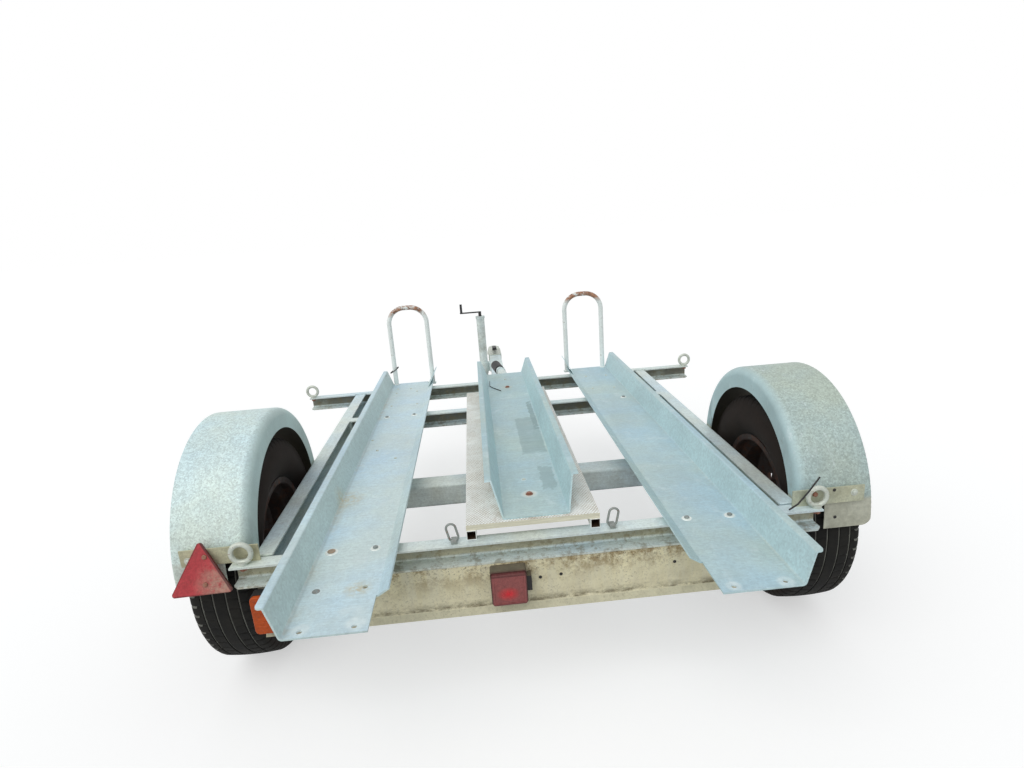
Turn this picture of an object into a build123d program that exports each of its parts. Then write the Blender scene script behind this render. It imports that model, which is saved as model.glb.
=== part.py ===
"""Motorcycle trailer: three channels for motorcycles on a galvanised steel frame."""

import os
from math import radians, tan

from build123d import *

# All sizes are in millimetres. X points right seen from behind, Y forward to the coupling, Z up.
# The origin is on the ground, under the middle of the trailer's length and width.

# Overall
overall_length = 2950
deck_height = 458
rear_y = -overall_length / 2
fit_gap = 0.3

# Frame members, folded steel channels
member_height = 60
member_width = 50
member_wall = 5
member_fold = 9
cross_rear_forward = 298
cross_rear_half = 760
cross_front_half = 938
rail_outer = 718
corner_cut = 12

# Outer channels for the motorcycles
trough_wall = 4
trough_length = 1927
trough_fold = 6
trough_inner = 366
trough_flat = 178
flange_height = 71
flange_lean = 25
flange_lip = 18
flange_lip_round = 10
low_lip_reach = 27
low_lip_rise = 20
low_lip_end_slope = 9
low_lip_front_gap = 4
tongue_length = 119
flange_end_slope = 9
ramp_hole_radius = 6
ramp_hole_forward = 18
ramp_hole_edge = 33
drain_hole_forward = 155
cross_front_setback = 126
cross_front_forward = trough_length - cross_front_setback
cross_middle_setback = 410
cross_middle_forward = cross_front_forward - cross_middle_setback

# Centre channel, board and bearers
board_thickness = 15
board_width = 346
board_offset = 5
board_forward = 325
board_front_setback = 276
board_length = cross_front_forward - board_front_setback - board_forward
bearer_size = 25
bearer_wall = 2
bearer_lead = 3
centre_offset = 15
centre_flat = 168
centre_forward = 336
centre_front_gap = 1
centre_length = cross_front_forward - centre_front_gap - centre_forward
centre_end_slope = 91

# Axle, arms and hubs
beam_size = 80
beam_wall = 6
beam_corner = 12
beam_forward = 804
beam_half = 715
arm_thickness = 20
arm_width = 56
spindle_radius = 15
spindle_clearance = 0.05
hub_radius = 38
hub_gap = 5
hub_flange_radius = 78
hub_flange_thickness = 10
hub_cap_radius = 27
hub_cap_length = 32

# Road wheels
tyre_radius = 322
tyre_width = 188
tyre_bead_radius = 178
tyre_shoulder = 28
tyre_shoulder_inset = 10
tyre_crown_inset = 26
tyre_crown_drop = 4
tyre_tread_wall = 16
tyre_side_wall = 12
tyre_bead_width = 18
wheel_forward = 668
wheel_offset_x = 824
rim_flange_radius = 194
rim_width = 140
rim_wall = 4
rim_well_radius = 158
rim_seat_width = 24
rim_well_slope = 12
rim_well_side = 28
rim_disc_offset = 34
rim_dish = 11
rim_dish_width = 20
stud_circle_radius = 56
stud_count = 5
stud_hole_radius = 7
rim_vent_count = 8
rim_vent_radius = 12
rim_vent_circle_radius = 112

# Mudguards
guard_forward = 672
guard_axis_drop = 63
guard_height = deck_height - guard_axis_drop
guard_radius = 342
guard_wall = 2
guard_outer_x = 915
guard_arch_radius = 278
guard_foot_drop = 80
guard_foot_height = deck_height - guard_foot_drop
guard_bend = 26
guard_edge = 10
guard_edge_bend = 6
guard_corner = 28
guard_notch_x = 783
strap_height = 45
strap_wall = 4
strap_inner_x = 690
strap_outer_x = 885

# Drawbar, coupling and jockey wheel
drawbar_size = 70
drawbar_wall = 5
coupling_wall = 5
coupling_sleeve = 150
ball_radius = 25
ball_clearance = 0.1
ball_setback = 45
ball_rise = 12
ball_forward = overall_length - ball_setback
coupling_nose = 85
drawbar_end = ball_forward - coupling_nose
socket_wall = 7
socket_depth = 20
handle_length = 170
handle_width = 24
handle_rise = 48
jockey_setback = 280
jockey_forward = drawbar_end - jockey_setback
jockey_tube_radius = 24
jockey_tube_wall = 3
jockey_tube_drop = 140
jockey_tube_bottom = deck_height - jockey_tube_drop
jockey_tube_length = 340
jockey_cap_height = 14
jockey_cap_rim = 3
jockey_running = 0.1
jockey_inner_length = 330
jockey_crown_top = 235
jockey_crown_height = 20
jockey_pin_radius = 10
jockey_pin_length = 60
jockey_wheel_radius = 100
jockey_wheel_width = 50
jockey_wheel_round = 14
jockey_trail = 42
jockey_fork_wall = 5
jockey_fork_gap = 5
jockey_fork_tip = 12
jockey_axle_radius = 8
jockey_clamp_height = 55
jockey_clamp_wall = 8
jockey_clamp_gap = 8
crank_reach = 110
crank_width = 18
crank_thickness = 6
crank_post_radius = 9
crank_post_height = 22
crank_grip_radius = 7
crank_grip_length = 50

# Tube that carries the centre channel's front end on the front cross member
front_tube_wall = 3
front_tube_x = 37
front_tube_setback = 101
front_tube_length = 262
front_tube_turn = 8
front_collar_reach = 227
front_collar_length = 6
front_collar_rim = 4
front_cap_radius = 25
front_cap_length = 120

# Front hoops
hoop_tube_radius = 11
hoop_height = 385
hoop_outer_x = 528
hoop_inner_x = 344
hoop_bend = 78
hoop_setback = 15
hoop_forward = trough_length - hoop_setback
hoop_tab_wall = 4
hoop_tab_margin = 4
hoop_tab_lap = 40

# Rear panel, lamps and reflector
panel_wall = 2
panel_half = 700
panel_drop = 118
panel_lip = 22
panel_forward = 300
panel_top_flange = 40
fog_size = 92
fog_depth = 46
fog_x = -71
fog_top_gap = 6
fog_round = 6
fog_border = 6
fog_recess = 1.5
fog_ear_width = 13
fog_ear_height = 42
fog_ear_depth = 24
lens_depth = 9
lens_edge = 2.5
lamp_width = 155
lamp_height = 110
lamp_round = 14
lens_inset = 2
lamp_depth = 34
lamp_outer_x = 715
amber_width = 46
reflector_side = 155
reflector_depth = 7
reflector_x = -829
reflector_rise = 1
reflector_turn = 1
reflector_lean = 20
reflector_round = 7
reflector_boss_radius = 9
reflector_boss_drop = 44

# Eye nuts and lashing rings
eye_ring_radius = 24.5
eye_wire_radius = 6.5
eye_collar_radius = 12
eye_collar_height = 10
eye_inset = 15
eye_rear_left_x = 729
eye_rear_right_x = 749
lash_height = 55
lash_width = 30
lash_wire_radius = 3
lash_left_x = -201
lash_right_x = 208
lash_forward = 320
lash_lean = 12
lash_clip_length = 26
lash_clip_width = 14
lash_clip_cover = 2

# Worked out from the sizes above
frame_top = deck_height - trough_wall
frame_bottom = frame_top - member_height
rail_inner = rail_outer - member_width
beam_top = frame_bottom
beam_centre_z = beam_top - beam_size / 2
beam_y = rear_y + beam_forward + beam_size / 2
wheel_y = rear_y + wheel_forward
wheel_z = tyre_radius
drawbar_top = frame_bottom
drawbar_centre_z = drawbar_top - drawbar_size / 2
jockey_y = rear_y + jockey_forward
jockey_x = -(drawbar_size / 2 + jockey_clamp_wall + jockey_tube_radius + jockey_clamp_gap)
jockey_axle_z = jockey_wheel_radius
sides = {"left": -1, "right": 1}

os.makedirs("parts", exist_ok=True)


def forward(distance):
    """Y of a point that lies this far in front of the outer channels' rear end."""
    return rear_y + distance


def across(distance):
    """Upright plane across the trailer, facing back; a negative extrusion goes forward."""
    return Plane.XZ.offset(-forward(distance))


def save(part, name):
    """Label one finished piece and write its file."""
    part.label = name
    export_step(part, f"parts/{name}.step")


def member_section():
    """Section of a frame member round the origin: a folded channel with its web on the right."""
    with BuildSketch(mode=Mode.PRIVATE) as section:
        Rectangle(member_width, member_height)
        with Locations((-member_wall / 2, 0)):
            Rectangle(member_width - member_wall, member_height - 2 * member_wall, mode=Mode.SUBTRACT)
        fillet(section.vertices().group_by(Axis.X)[1], member_fold - member_wall)
        fillet(section.vertices().group_by(Axis.X)[-1], member_fold)
    return section.sketch


def cross_member(start, half):
    """Channel across the trailer, open to the rear, its lower flange's ends cut back."""
    with BuildPart() as member:
        with BuildSketch(Plane.YZ.offset(-half)):
            with Locations((forward(start) + member_width / 2, frame_bottom + member_height / 2)):
                add(member_section())
        extrude(amount=2 * half)
        ends = member.edges().filter_by(Axis.Z).group_by(Axis.Y)[0]
        low = [e for e in ends if e.center().Z < frame_bottom + member_wall]
        chamfer(low, corner_cut)
    return member.part


def side_rail(side):
    """Channel along the trailer, open to the inside, its web against the mudguard."""
    start = cross_rear_forward + member_width
    with BuildPart() as rail:
        with BuildSketch(across(start)):
            with Locations((side * (rail_inner + member_width / 2), frame_bottom + member_height / 2)):
                add(member_section(), rotation=0 if side > 0 else 180)
        extrude(amount=-(cross_front_forward - start))
    return rail.part


save(cross_member(cross_rear_forward, cross_rear_half), "cross_member_rear")
save(cross_member(cross_front_forward, cross_front_half), "cross_member_front")
save(cross_member(cross_middle_forward, rail_inner), "cross_member_middle")
for name, side in sides.items():
    save(side_rail(side), f"side_rail_{name}")


def outer_trough(side):
    """Channel for one motorcycle: a tall flange outside, a low sloping lip inside."""
    flat_outer = trough_inner + trough_flat
    lip_z = deck_height + flange_height
    points = [
        (side * (trough_inner - low_lip_reach), deck_height + low_lip_rise),
        (side * trough_inner, deck_height),
        (side * flat_outer, deck_height),
        (side * (flat_outer + flange_lean), lip_z),
        (side * (flat_outer + flange_lean + flange_lip), lip_z),
    ]
    with BuildPart() as trough:
        with BuildSketch(across(0)):
            with BuildLine():
                FilletPolyline(*points, radius=trough_fold)
                offset(amount=trough_wall, side=Side.RIGHT if side > 0 else Side.LEFT, closed=True)
            make_face()
        extrude(amount=-trough_length)
        # the low lip ends short of both ends, so that the flat runs out as bare tongues
        lip_root = side * (trough_inner + trough_fold / 2)
        lip_tip = side * (trough_inner - low_lip_reach - 2 * trough_wall)
        front_end = hoop_forward - hoop_tube_radius - low_lip_front_gap
        for root, tip, end in (
            (tongue_length, tongue_length - low_lip_end_slope, -fit_gap),
            (front_end, front_end, trough_length + fit_gap),
        ):
            with BuildSketch(Plane.XY.offset(deck_height - 2 * trough_wall)):
                with BuildLine():
                    Polyline(
                        (lip_root, forward(root)),
                        (lip_tip, forward(tip)),
                        (lip_tip, forward(end)),
                        (lip_root, forward(end)),
                        close=True,
                    )
                make_face()
            extrude(amount=low_lip_rise + 4 * trough_wall, mode=Mode.SUBTRACT)
        # the tall flange's rear end leans forward a little
        with BuildSketch(Plane.YZ.offset(side * flat_outer)):
            with BuildLine():
                Polyline(
                    (forward(0), deck_height),
                    (forward(flange_end_slope), lip_z + trough_wall),
                    (forward(-fit_gap), lip_z + trough_wall),
                    (forward(-fit_gap), deck_height),
                    close=True,
                )
            make_face()
        extrude(amount=side * (flange_lean + flange_lip + 2 * trough_wall), mode=Mode.SUBTRACT)
        lip_edges = trough.edges().filter_by(
            lambda e: abs(e.center().X) > flat_outer + flange_lean + flange_lip - fit_gap)
        fillet(lip_edges.sort_by(Axis.Y)[0], flange_lip_round)
        hole_xs = (trough_inner + ramp_hole_edge, flat_outer - ramp_hole_edge)
        spots = [(side * x, forward(ramp_hole_forward)) for x in hole_xs]
        spots.append((side * hole_xs[0], forward(drain_hole_forward)))
        with Locations(*[(x, y, deck_height) for x, y in spots]):
            Hole(ramp_hole_radius, depth=2 * trough_wall)
    return trough.part


for name, side in sides.items():
    save(outer_trough(side), f"trough_{name}")

bearer_top = frame_top + bearer_size
board_top = bearer_top + board_thickness
centre_top = board_top + trough_wall

with BuildPart() as trough_centre:
    lip_z = centre_top + flange_height
    half = centre_flat / 2
    with BuildSketch(across(centre_forward)):
        with BuildLine():
            FilletPolyline(
                (centre_offset - half - flange_lean - flange_lip, lip_z),
                (centre_offset - half - flange_lean, lip_z),
                (centre_offset - half, centre_top),
                (centre_offset + half, centre_top),
                (centre_offset + half + flange_lean, lip_z),
                (centre_offset + half + flange_lean + flange_lip, lip_z),
                radius=trough_fold,
            )
            offset(amount=trough_wall, side=Side.RIGHT, closed=True)
        make_face()
    extrude(amount=-centre_length)
    # both flanges are cut at a long slope at the rear
    reach = half + flange_lean + flange_lip + 2 * trough_wall
    with BuildSketch(Plane.YZ.offset(centre_offset - reach)):
        with BuildLine():
            Polyline(
                (forward(centre_forward), centre_top),
                (forward(centre_forward + centre_end_slope), lip_z + trough_wall),
                (forward(centre_forward - fit_gap), lip_z + trough_wall),
                (forward(centre_forward - fit_gap), centre_top),
                close=True,
            )
        make_face()
    extrude(amount=2 * reach, mode=Mode.SUBTRACT)
save(trough_centre.part, "trough_centre")

with BuildPart() as board:
    with BuildSketch(Plane.XY.offset(bearer_top)):
        with Locations((board_offset, forward(board_forward + board_length / 2))):
            Rectangle(board_width, board_length)
    extrude(amount=board_thickness)
save(board.part, "board")

with BuildPart() as board_bearers:
    bearer_x = (board_width - bearer_size) / 2
    with BuildSketch(across(board_forward - bearer_lead)):
        for x in (board_offset - bearer_x, board_offset + bearer_x):
            with Locations((x, frame_top + bearer_size / 2)):
                Rectangle(bearer_size, bearer_size)
                Rectangle(bearer_size - 2 * bearer_wall, bearer_size - 2 * bearer_wall,
                          mode=Mode.SUBTRACT)
    extrude(amount=-(board_length + bearer_lead))
save(board_bearers.part, "board_bearers")

with BuildPart() as axle_beam:
    with BuildSketch(Plane.YZ.offset(-beam_half)):
        with Locations((beam_y, beam_centre_z)):
            RectangleRounded(beam_size, beam_size, beam_corner)
            RectangleRounded(beam_size - 2 * beam_wall, beam_size - 2 * beam_wall,
                             beam_corner - beam_wall, mode=Mode.SUBTRACT)
    extrude(amount=2 * beam_half)
save(axle_beam.part, "axle_beam")

arm_inner_x = beam_half
spindle_start = arm_inner_x + arm_thickness
hub_inner_x = spindle_start + hub_gap
disc_x = wheel_offset_x + rim_disc_offset
hub_outer_x = disc_x
spindle_end = hub_outer_x


def axle_arm(side):
    """Trailing arm at the beam's end, with the spindle that carries the hub."""
    with BuildPart() as arm:
        with BuildSketch(Plane.YZ.offset(side * arm_inner_x)):
            with BuildLine():
                CenterArc((beam_y, beam_centre_z), arm_width / 2, 0, 360)
            make_face()
            with BuildLine():
                CenterArc((wheel_y, wheel_z), arm_width / 2, 0, 360)
            make_face()
            make_hull()
        extrude(amount=side * arm_thickness)
        with BuildSketch(Plane.YZ.offset(side * spindle_start)):
            with Locations((wheel_y, wheel_z)):
                Circle(spindle_radius)
        extrude(amount=side * (spindle_end - spindle_start))
    return arm.part


def hub(side):
    """Hub on the spindle: barrel, flange for the wheel and grease cap."""
    with BuildPart() as piece:
        with BuildSketch(Plane.YZ.offset(side * hub_inner_x)):
            with Locations((wheel_y, wheel_z)):
                Circle(hub_radius)
        extrude(amount=side * (hub_outer_x - hub_inner_x))
        with BuildSketch(Plane.YZ.offset(side * (disc_x - hub_flange_thickness))):
            with Locations((wheel_y, wheel_z)):
                Circle(hub_flange_radius)
        extrude(amount=side * hub_flange_thickness)
        with BuildSketch(Plane.YZ.offset(side * disc_x)):
            with Locations((wheel_y, wheel_z)):
                Circle(hub_cap_radius)
        extrude(amount=side * hub_cap_length)
        with BuildSketch(Plane.YZ.offset(side * hub_inner_x)):
            with Locations((wheel_y, wheel_z)):
                Circle(spindle_radius + spindle_clearance)
        extrude(amount=side * (spindle_end + hub_gap - hub_inner_x), mode=Mode.SUBTRACT)
    return piece.part


def wheel_section(side):
    """Plane through the wheel's axis: its X is along the axle outward, its Y is upward."""
    return Plane(
        origin=(side * wheel_offset_x, wheel_y, wheel_z),
        x_dir=(side, 0, 0),
        z_dir=(0, -side, 0),
    )


def rim(side):
    """Pressed steel wheel: drop-centre rim, dished disc, stud holes and vents."""
    half = rim_width / 2
    seat = tyre_bead_radius - fit_gap
    plane = wheel_section(side)
    with BuildPart() as piece:
        with BuildSketch(plane):
            with BuildLine():
                Polyline(
                    (-half, rim_flange_radius),
                    (-half, seat),
                    (-half + rim_seat_width, seat),
                    (-half + rim_seat_width + rim_well_slope, rim_well_radius),
                    (half - rim_seat_width - rim_well_side, rim_well_radius),
                    (half - rim_seat_width, seat),
                    (half, seat),
                    (half, rim_flange_radius),
                )
                offset(amount=rim_wall, side=Side.RIGHT, closed=True)
            make_face()
        revolve(axis=Axis(plane.origin, plane.x_dir))
        with BuildSketch(plane):
            with BuildLine():
                Polyline(
                    (rim_disc_offset, hub_cap_radius + fit_gap),
                    (rim_disc_offset, hub_flange_radius),
                    (rim_disc_offset + rim_dish, hub_flange_radius + rim_dish_width),
                    (rim_disc_offset - rim_dish, rim_well_radius - rim_wall - rim_dish),
                    (rim_disc_offset - 2 * rim_dish, rim_well_radius - rim_wall / 2),
                )
                offset(amount=rim_wall, side=Side.RIGHT, closed=True)
            make_face()
        revolve(axis=Axis(plane.origin, plane.x_dir))
        face = Plane(origin=(side * disc_x, wheel_y, wheel_z), x_dir=(0, 1, 0), z_dir=(side, 0, 0))
        with BuildSketch(face.offset(-hub_flange_radius)):
            with PolarLocations(stud_circle_radius, stud_count):
                Circle(stud_hole_radius)
            with PolarLocations(rim_vent_circle_radius, rim_vent_count):
                Circle(rim_vent_radius)
        extrude(amount=2 * hub_flange_radius, mode=Mode.SUBTRACT)
    return piece.part


def tyre(side):
    """Road tyre: bead, rounded sidewall and crowned tread."""
    bead = rim_width / 2 - fit_gap
    bead_inside = bead - tyre_bead_width
    bulge = tyre_width / 2
    flange = rim_flange_radius + fit_gap
    middle = (flange + tyre_radius - tyre_shoulder) / 2
    edge = (bulge - tyre_shoulder_inset, tyre_radius - tyre_shoulder)
    crown = (bulge - tyre_crown_inset, tyre_radius - tyre_crown_drop)
    corner = (bulge - (tyre_shoulder_inset + tyre_crown_inset) / 2.4, tyre_radius - tyre_shoulder / 2.3)
    cavity = (crown[0], tyre_radius - tyre_tread_wall)
    plane = wheel_section(side)
    with BuildPart() as piece:
        with BuildSketch(plane):
            with BuildLine() as half:
                Line((0, tyre_radius - tyre_tread_wall), cavity)
                ThreePointArc(cavity, (bulge - tyre_side_wall, middle), (bead_inside, tyre_bead_radius))
                Line((bead_inside, tyre_bead_radius), (bead, tyre_bead_radius))
                Line((bead, tyre_bead_radius), (bead, flange))
                ThreePointArc((bead, flange), (bulge, middle), edge)
                ThreePointArc(edge, corner, crown)
                ThreePointArc(crown, (0, tyre_radius), (-crown[0], crown[1]))
                mirror(half.edges()[:-1], about=Plane.YZ)
            make_face()
        revolve(axis=Axis(plane.origin, plane.x_dir))
    return piece.part


def guard_section():
    """Section of the mudguard's sheet: inner skirt, rounded top sheet and turned-down outer edge."""
    with BuildSketch(mode=Mode.PRIVATE) as section:
        with BuildLine():
            FilletPolyline(
                (rail_outer, guard_arch_radius),
                (rail_outer, guard_radius),
                (guard_outer_x, guard_radius),
                (guard_outer_x, guard_radius - guard_edge),
                radius=[guard_bend, guard_edge_bend],
            )
            offset(amount=guard_wall, side=Side.RIGHT, closed=True)
        make_face()
    return section.sketch


def mudguard():
    """Sheet mudguard over the right wheel, its inner skirt flat against the side rail."""
    centre = (0, forward(guard_forward), guard_height)
    rear = Plane(origin=centre, x_dir=(1, 0, 0), z_dir=(0, 0, -1))
    front = Plane(origin=centre, x_dir=(1, 0, 0), z_dir=(0, 0, 1))
    drop = guard_height - guard_foot_height
    back = guard_forward - guard_radius - guard_wall
    section = guard_section()
    with BuildPart() as guard:
        with BuildSketch(rear):
            add(section)
        revolve(axis=Axis(centre, (-1, 0, 0)), revolution_arc=180)
        with BuildSketch(rear):
            add(section)
        extrude(amount=drop)
        with BuildSketch(front):
            add(section)
        extrude(amount=-drop)
        # notch round the end of the rear cross member
        notch_end = cross_rear_forward + member_width + fit_gap
        with BuildSketch(across(back)):
            with Locations((rail_outer, frame_top + fit_gap)):
                Rectangle(guard_notch_x - rail_outer, member_height * 2, align=(Align.MIN, Align.MAX))
        extrude(amount=-(notch_end - back), mode=Mode.SUBTRACT)
        # both feet have a rounded outer corner
        with BuildSketch(across(back)):
            with Locations((guard_outer_x, guard_foot_height)):
                Rectangle(guard_corner, guard_corner, align=(Align.MAX, Align.MIN))
            with Locations((guard_outer_x - guard_corner, guard_foot_height + guard_corner)):
                Circle(guard_corner, mode=Mode.SUBTRACT)
        extrude(amount=-2 * (guard_forward - back), mode=Mode.SUBTRACT)
    return guard.part


guard_right = mudguard()
save(guard_right, "mudguard_right")
with BuildPart() as guard_left:
    mirror(guard_right, about=Plane.YZ)
save(guard_left.part, "mudguard_left")

guard_rear_forward = guard_forward - guard_radius
with BuildPart() as mudguard_straps:
    for side in sides.values():
        with BuildSketch(across(guard_rear_forward - strap_wall)):
            with Locations((side * (strap_inner_x + strap_outer_x) / 2, frame_top + strap_height / 2)):
                Rectangle(strap_outer_x - strap_inner_x, strap_height)
        extrude(amount=-strap_wall)
save(mudguard_straps.part, "mudguard_straps")

for name, side in sides.items():
    save(axle_arm(side), f"axle_arm_{name}")
    save(hub(side), f"hub_{name}")
    save(rim(side), f"rim_{name}")
    save(tyre(side), f"tyre_{name}")

with BuildPart() as drawbar:
    drawbar_start = beam_forward + beam_size
    with BuildSketch(across(drawbar_start)):
        with Locations((0, drawbar_centre_z)):
            Rectangle(drawbar_size, drawbar_size)
            Rectangle(drawbar_size - 2 * drawbar_wall, drawbar_size - 2 * drawbar_wall,
                      mode=Mode.SUBTRACT)
    extrude(amount=-(drawbar_end - drawbar_start))
save(drawbar.part, "drawbar")

# The coupling is a pressed housing over the drawbar's end with the ball socket in its nose.
ball_z = drawbar_centre_z + ball_rise
socket_radius = ball_radius + socket_wall
coupling_top = drawbar_top + coupling_wall


def coupling_shape(inset):
    """Closed form of the housing's neck and nose, smaller all round by the inset."""
    outer = drawbar_size + 2 * coupling_wall - 2 * inset
    with BuildPart() as form:
        with BuildSketch(across(drawbar_end)):
            with Locations((0, coupling_top - inset)):
                Rectangle(outer, outer - coupling_wall, align=(Align.CENTER, Align.MAX))
        with BuildSketch(across(ball_forward)):
            with Locations((0, ball_z)):
                Rectangle(2 * (socket_radius - inset), 2 * (socket_radius - inset))
        loft()
    return form.part


with BuildPart() as coupling:
    outer = drawbar_size + 2 * coupling_wall
    with BuildSketch(across(drawbar_end - coupling_sleeve)):
        with Locations((0, coupling_top)):
            Rectangle(outer, outer - coupling_wall, align=(Align.CENTER, Align.MAX))
        with Locations((0, drawbar_top)):
            Rectangle(drawbar_size, drawbar_size, align=(Align.CENTER, Align.MAX), mode=Mode.SUBTRACT)
    extrude(amount=-coupling_sleeve)
    add(coupling_shape(0))
    add(coupling_shape(coupling_wall), mode=Mode.SUBTRACT)
    with BuildSketch(Plane.XY.offset(ball_z - socket_depth)):
        with Locations((0, forward(ball_forward))):
            Circle(ball_setback)
    extrude(amount=socket_depth)
    with BuildSketch(Plane.XY.offset(ball_z)):
        with Locations((0, forward(ball_forward))):
            Circle(ball_setback)
    with BuildSketch(Plane.XY.offset(ball_z + socket_radius)):
        with Locations((0, forward(ball_forward))):
            Circle(ball_setback / 2)
    loft()
    with Locations((0, forward(ball_forward), ball_z)):
        Sphere(ball_radius + ball_clearance, mode=Mode.SUBTRACT)
    with BuildSketch(Plane.XY.offset(ball_z)):
        with Locations((0, forward(ball_forward))):
            Circle(ball_radius + ball_clearance)
    extrude(amount=-2 * socket_radius, mode=Mode.SUBTRACT)
save(coupling.part, "coupling")

with BuildPart() as coupling_handle:
    handle_back = drawbar_end - handle_length
    with BuildSketch(Plane.YZ.offset(-handle_width / 2)):
        with BuildLine():
            Polyline(
                (forward(drawbar_end - handle_width), coupling_top),
                (forward(drawbar_end), coupling_top),
                (forward(drawbar_end), coupling_top + handle_rise / 2),
                (forward(handle_back), coupling_top + handle_rise),
                (forward(handle_back), coupling_top + 0.7 * handle_rise),
                (forward(drawbar_end - handle_width), coupling_top + handle_rise / 3),
                close=True,
            )
        make_face()
    extrude(amount=handle_width)
save(coupling_handle.part, "coupling_handle")

with BuildPart() as jockey_clamp:
    plate_x = -drawbar_size / 2
    with BuildSketch(Plane.XY.offset(drawbar_centre_z - jockey_clamp_height / 2)):
        with Locations((jockey_x, jockey_y)):
            Circle(jockey_tube_radius + jockey_clamp_wall)
        with Locations((plate_x, jockey_y)):
            Rectangle(jockey_clamp_wall, 2 * (jockey_tube_radius + jockey_clamp_wall),
                      align=(Align.MAX, Align.CENTER))
            Rectangle(plate_x - jockey_x, jockey_tube_radius, align=(Align.MAX, Align.CENTER))
        with Locations((jockey_x, jockey_y)):
            Circle(jockey_tube_radius + fit_gap, mode=Mode.SUBTRACT)
    extrude(amount=jockey_clamp_height)
save(jockey_clamp.part, "jockey_clamp")

jockey_tube_top = jockey_tube_bottom + jockey_tube_length
jockey_bore = jockey_tube_radius - jockey_tube_wall
with BuildPart() as jockey_tube:
    with BuildSketch(Plane.XY.offset(jockey_tube_bottom)):
        with Locations((jockey_x, jockey_y)):
            Circle(jockey_tube_radius)
            Circle(jockey_bore, mode=Mode.SUBTRACT)
    extrude(amount=jockey_tube_length)
    with BuildSketch(Plane.XY.offset(jockey_tube_top)):
        with Locations((jockey_x, jockey_y)):
            Circle(jockey_tube_radius + jockey_cap_rim)
    extrude(amount=jockey_cap_height)
save(jockey_tube.part, "jockey_tube")

with BuildPart() as jockey_crank:
    crank_base = jockey_tube_top + jockey_cap_height
    with BuildSketch(Plane.XY.offset(crank_base)):
        with Locations((jockey_x, jockey_y)):
            Circle(crank_post_radius)
    extrude(amount=crank_post_height)
    with BuildSketch(Plane.XY.offset(crank_base + crank_post_height)):
        with Locations((jockey_x - crank_reach / 2, jockey_y)):
            SlotCenterToCenter(crank_reach, crank_width)
    extrude(amount=crank_thickness)
    with BuildSketch(Plane.XY.offset(crank_base + crank_post_height + crank_thickness)):
        with Locations((jockey_x - crank_reach, jockey_y)):
            Circle(crank_grip_radius)
    extrude(amount=crank_grip_length)
save(jockey_crank.part, "jockey_crank")

jockey_inner_radius = jockey_bore - jockey_running
with BuildPart() as jockey_inner_tube:
    with BuildSketch(Plane.XY.offset(jockey_crown_top)):
        with Locations((jockey_x, jockey_y)):
            Circle(jockey_inner_radius)
            Circle(jockey_pin_radius + jockey_running, mode=Mode.SUBTRACT)
    extrude(amount=jockey_inner_length)
save(jockey_inner_tube.part, "jockey_inner_tube")

jockey_axle_y = jockey_y - jockey_trail
with BuildPart() as jockey_fork:
    crown_z = jockey_crown_top - fit_gap
    fork_inner = jockey_wheel_width / 2 + jockey_fork_gap
    fork_half = fork_inner + jockey_fork_wall
    with BuildSketch(Plane.XY.offset(crown_z - jockey_crown_height)):
        with Locations((jockey_x, jockey_y)):
            Rectangle(2 * fork_half, 2 * jockey_inner_radius)
        with Locations((jockey_x, jockey_axle_y)):
            Rectangle(2 * fork_half, 2 * jockey_inner_radius)
    extrude(amount=jockey_crown_height)
    with BuildSketch(Plane.XY.offset(crown_z)):
        with Locations((jockey_x, jockey_y)):
            Circle(jockey_pin_radius)
    extrude(amount=jockey_pin_length)
    for side in sides.values():
        with BuildSketch(Plane.YZ.offset(jockey_x + side * fork_inner)):
            with BuildLine():
                Polyline(
                    (jockey_axle_y - jockey_fork_tip, jockey_axle_z - jockey_fork_tip),
                    (jockey_axle_y + jockey_fork_tip, jockey_axle_z - jockey_fork_tip),
                    (jockey_y + jockey_inner_radius, crown_z - jockey_crown_height),
                    (jockey_axle_y - jockey_inner_radius, crown_z - jockey_crown_height),
                    close=True,
                )
            make_face()
        extrude(amount=side * jockey_fork_wall)
    with BuildSketch(Plane.YZ.offset(jockey_x - fork_half)):
        with Locations((jockey_axle_y, jockey_axle_z)):
            Circle(jockey_axle_radius)
    extrude(amount=2 * fork_half)
save(jockey_fork.part, "jockey_fork")

with BuildPart() as jockey_wheel:
    with BuildSketch(Plane.YZ.offset(jockey_x - jockey_wheel_width / 2)):
        with Locations((jockey_axle_y, jockey_axle_z)):
            Circle(jockey_wheel_radius)
    extrude(amount=jockey_wheel_width)
    fillet(jockey_wheel.edges().filter_by(GeomType.CIRCLE), jockey_wheel_round)
    with BuildSketch(Plane.YZ.offset(jockey_x - jockey_wheel_width / 2)):
        with Locations((jockey_axle_y, jockey_axle_z)):
            Circle(jockey_axle_radius + jockey_running)
    extrude(amount=jockey_wheel_width, mode=Mode.SUBTRACT)
save(jockey_wheel.part, "jockey_wheel")

# The tube lies on the front cross member, turned a little to the left, with its cap out in front.
front_tube_radius = (board_top - frame_top) / 2
front_tube_line = Axis(
    (front_tube_x, forward(cross_front_forward - front_tube_setback), frame_top + front_tube_radius),
    Vector(0, 1, 0).rotate(Axis.Z, front_tube_turn),
)


def front_tube_plane(distance):
    """Plane across the front tube, this far along it."""
    line = front_tube_line
    return Plane(origin=line.position + line.direction * distance, z_dir=line.direction)


with BuildPart() as front_tube:
    with BuildSketch(front_tube_plane(0)):
        Circle(front_tube_radius)
        Circle(front_tube_radius - front_tube_wall, mode=Mode.SUBTRACT)
    extrude(amount=front_tube_length)
    with BuildSketch(front_tube_plane(front_collar_reach)):
        Circle(front_tube_radius + front_collar_rim)
        Circle(front_tube_radius - front_tube_wall, mode=Mode.SUBTRACT)
    extrude(amount=front_collar_length)
save(front_tube.part, "front_tube")

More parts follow.
